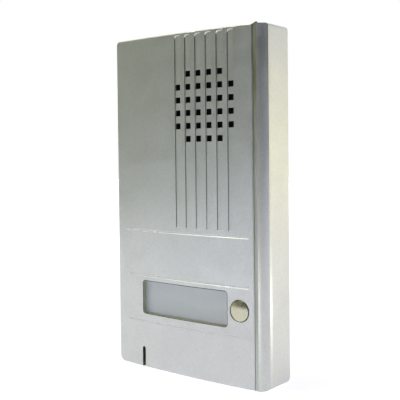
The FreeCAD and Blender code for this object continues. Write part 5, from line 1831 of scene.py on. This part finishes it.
DRESSED_NODES: dict[str, Finish] = {
    "speaker_seal": FOAM, "speaker_frame": PRESSED, "pole_plate": PRESSED, "speaker_magnet": FERRITE,
    "speaker_yoke": PRESSED, "voice_coil": COPPER, "speaker_cone": CONE, "dust_cap": CONE,
    "speaker_terminals": FIBRE, "speaker_clamps": PRESSED, "clamp_screws": STEEL,
    "microphone_boot": RUBBER, "microphone_capsule": CAN, "button_guide": BLACK, "guide_screws": STEEL,
    "snap_ring": SPRING_STEEL, "switch_body": BLACK, "switch_plunger": GREY,
    "card_tray": WHITE, "circuit_board": LACQUER, "board_screws": STEEL, "terminal_block": TERMINAL,
    "terminal_screws": STEEL, "volume_trimmer": BLUE, "volume_rotor": WHITE, "microphone_trimmer": BLUE,
    "microphone_rotor": WHITE, "amplifier_chips": BLACK, "electrolytic_capacitors": SLEEVE,
    "film_capacitors": FILM_RED, "resistors": RESISTOR, "diodes": DIODE, "transformer_core": FERRITE,
    "transformer_winding": TAPE, "lead_plugs": WHITE, "lamps": FILM, "speaker_leads": LEAD_RED,
    "microphone_leads": LEAD_GREY,
}


@dataclass
class GivingParts:
    """The button's spring and the cone's surround, copied from the frame as they are."""

    stroke: float = 1.2
    fixed_front: float = -6.25
    moving_front: float = -5.60

    def build(self) -> None:
        """Copy the spring and the surround from the frame, dress them and hide the nodes they stand for."""
        spring = frame_copy("button_spring", "button_spring_wound")
        shade(spring, 40.0)
        clad(spring, SPRING_STEEL, "spring_steel", "button_spring")
        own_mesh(spring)
        surround = frame_copy("cone_surround", "cone_surround_moulded")
        shade(surround, 30.0)
        coat(surround, CONE)
        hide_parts("cone_surround")
        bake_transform(surround)
        log.info("%s: %d faces", surround.name, len(surround.data.polygons))


def dress_nodes() -> None:
    """Give each node of the frame that still shows its finish."""
    for name, finish in DRESSED_NODES.items():
        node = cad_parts[name]
        if node.hide_render:
            continue
        node.data.materials.clear()
        coat(node, finish)
        log.info("%s: dressed as %s", name, finish.name)


@dataclass
class Studio:
    """The floor, the soft light, the dim room in front and the camera. Its lengths are metres."""

    eye: Triple = (0.2437, -0.3026, 0.1150)
    azimuth: float = 38.77
    pitch: float = 1.66
    roll: float = -0.60
    lens: float = 67.185
    shift: Span = (0.005, -0.065)
    glow: tuple[float, ...] = (1.0, 1.0, 1.08, 1.0)
    glow_reach: Span = (0.12, 0.7)
    glow_strength: Span = (0.72, 1.0)
    floor_grey: tuple[float, ...] = (0.8, 0.8, 0.8, 1.0)
    room: tuple[float, ...] = (1.0, 1.0, 0.94, 1.0)
    room_strength: float = 0.3

    def background_share(self, plan: NodePlan) -> bpy.types.NodeSocket:
        """Tell rays that show the background from those that light the object.

        Args:
            plan: The tree that the answer is used in.

        Returns:
            1 for camera, glossy and see-through rays and 0 for others.
        """
        path = plan.add("ShaderNodeLightPath")
        source = path.outputs["Is Camera Ray"]
        for name in ("Is Glossy Ray", "Is Transmission Ray"):
            source = plan.math("MAXIMUM", source, path.outputs[name])
        return source

    def floor(self) -> None:
        """Make the pale floor, which keeps a faint shadow."""
        draft = Draft()
        radius = 3.0
        draft.loft([[Vector((radius * math.cos(turn), radius * math.sin(turn), level))
                     for turn in full_turn(64)] for level in (-0.02, -0.0002)])
        floor = draft.finish("floor")
        material = bpy.data.materials.new("pale_floor")
        material.use_nodes = True
        plan = NodePlan(material.node_tree)
        place_on = plan.add("ShaderNodeTexCoord").outputs["Object"]
        reach = plan.add("ShaderNodeVectorMath", {0: place_on}, operation="LENGTH")
        near = plan.add("ShaderNodeMapRange", {
            "Value": reach.outputs["Value"], "From Min": self.glow_reach[0], "From Max": self.glow_reach[1],
            "To Min": self.glow_strength[0], "To Max": self.glow_strength[1]})
        strength = plan.math("MULTIPLY", self.background_share(plan), near.outputs["Result"])
        glow = plan.add("ShaderNodeEmission", {"Color": self.glow, "Strength": strength})
        cloth = plan.add("ShaderNodeBsdfDiffuse", {"Color": self.floor_grey})
        both = plan.add("ShaderNodeAddShader", {0: cloth.outputs[0], 1: glow.outputs[0]})
        plan.add("ShaderNodeOutputMaterial", {"Surface": both.outputs[0]})
        floor.data.materials.append(material)

    def world(self) -> None:
        """Make the white background and the dim light of the room."""
        world = bpy.data.worlds.new("studio")
        world.use_nodes = True
        plan = NodePlan(world.node_tree)
        room = plan.add("ShaderNodeBackground", {"Color": self.room, "Strength": self.room_strength})
        white = plan.add("ShaderNodeBackground", {"Color": (1.0, 1.0, 1.0, 1.0)})
        mix = plan.add("ShaderNodeMixShader", {"Fac": self.background_share(plan), 1: room.outputs[0],
                                               2: white.outputs[0]})
        plan.add("ShaderNodeOutputWorld", {"Surface": mix.outputs[0]})
        bpy.context.scene.world = world

    def screen(self, name: str, ends: Span, high: float, reach: float, colour: Colour) -> None:
        """Stand a curved dark screen round the front, out of the camera's sight.

        Args:
            name: Name of the screen.
            ends: Directions of its ends in degrees, counted as the camera's azimuth is.
            high: Height of its upper edge.
            reach: Distance from the object.
            colour: Colour of its cloth.
        """
        draft = Draft()
        count, thick = 24, 0.01
        turns = [math.radians(ends[0] + (ends[1] - ends[0]) * step / count) for step in range(count + 1)]
        rows = ((reach, 0.0), (reach, high), (reach + thick, high), (reach + thick, 0.0))
        made = [draft.ring([Vector((math.sin(turn) * distance, -math.cos(turn) * distance, level))
                            for turn in turns]) for distance, level in rows]
        for number, first in enumerate(made):
            second = made[(number + 1) % len(made)]
            for index in range(count):
                draft.mesh.faces.new((first[index], first[index + 1], second[index + 1], second[index]))
        for index in (0, count):
            draft.mesh.faces.new([ring[index] for ring in made])
        screen = draft.finish(name)
        cloth = MaterialSheet(name + "_cloth")
        cloth.set(base=(*colour, 1.0), roughness=1.0, specular=0.0)
        screen.data.materials.append(cloth.material)
        screen.visible_camera = False

    def lamp(self, name: str, where: Triple, towards: Triple, size: Span, power: float, colour: Colour,
             shown: bool = True) -> None:
        """Hang a soft rectangular lamp.

        Args:
            name: Name of the lamp.
            where: Its place.
            towards: The point it faces.
            size: Width and height.
            power: Watts.
            colour: Colour of its light.
            shown: Whether glossy surfaces show the lamp itself.
        """
        light = bpy.data.lights.new(name, "AREA")
        light.shape = "RECTANGLE"
        light.size, light.size_y = size
        light.energy = power
        light.color = colour
        item = present(name, light)
        item.location = where
        item.rotation_euler = (Vector(towards) - Vector(where)).to_track_quat("-Z", "Y").to_euler()
        item.visible_camera = False
        item.visible_glossy = shown

    def camera(self) -> None:
        """Set the camera at the photograph's angle."""
        turn, tilt, roll = (math.radians(part) for part in (self.azimuth, self.pitch, self.roll))
        ahead = Vector((-math.sin(turn) * math.cos(tilt), math.cos(turn) * math.cos(tilt), -math.sin(tilt)))
        right = Vector((math.cos(turn), math.sin(turn), 0.0))
        up = right.cross(ahead)
        level = right * math.cos(roll) + up * math.sin(roll)
        rise = up * math.cos(roll) - right * math.sin(roll)
        data = bpy.data.cameras.new("camera")
        data.lens = self.lens
        data.sensor_width = 36.0
        data.shift_x, data.shift_y = self.shift
        data.clip_start = 0.01
        camera = present("camera", data)
        facing = Matrix((level, rise, -ahead)).transposed().to_4x4()
        camera.matrix_world = Matrix.Translation(self.eye) @ facing
        bpy.context.scene.camera = camera

    def build(self) -> None:
        """Set up floor, light and camera."""
        bpy.context.scene.view_settings.view_transform = "Standard"
        self.floor()
        self.world()
        self.screen("room_left", (-115.0, -42.0), 1.0, 0.75, (0.68, 0.68, 0.5))
        self.screen("room_front", (-42.0, 8.0), 1.0, 0.75, (0.36, 0.36, 0.26))
        self.screen("room_right", (8.0, 50.0), 1.4, 0.85, (0.015, 0.016, 0.014))
        self.screen("room_edge", (50.0, 92.0), 1.4, 0.85, (0.012, 0.011, 0.006))
        self.lamp("table_light", (-0.05, -0.5, 0.03), (0.0, 0.0, 0.02), (0.8, 0.1), 1.85, (0.6, 0.76, 1.0),
                  False)
        self.lamp("side_window", (0.75, 0.42, 0.07), (0.03, 0.0, 0.03), (1.0, 0.34), 0.75, (1.0, 0.93, 0.12))
        self.lamp("floor_right", (0.16, 0.02, 0.003), (0.05, 0.0, 0.03), (0.14, 0.05), 0.05,
                  (1.0, 0.99, 0.85))
        self.lamp("ceiling", (-0.5, -0.3, 0.95), (0.0, 0.0, 0.1), (0.7, 0.7), 4.0, (1.0, 0.985, 0.7))
        self.camera()


def main() -> None:
    """Build each sub-assembly in order, then the studio."""
    logging.basicConfig(level=logging.INFO, format="%(name)s %(message)s")
    FrontCover().build()
    RearCase().build()
    SeamStrip().build()
    NameWindow().build()
    CallButton().build()
    SpeakerMesh().build()
    CableEntry().build()
    WallSeal().build()
    CoverScrew().build()
    GivingParts().build()
    dress_nodes()
    Studio().build()


if __name__ == "__main__":
    main()
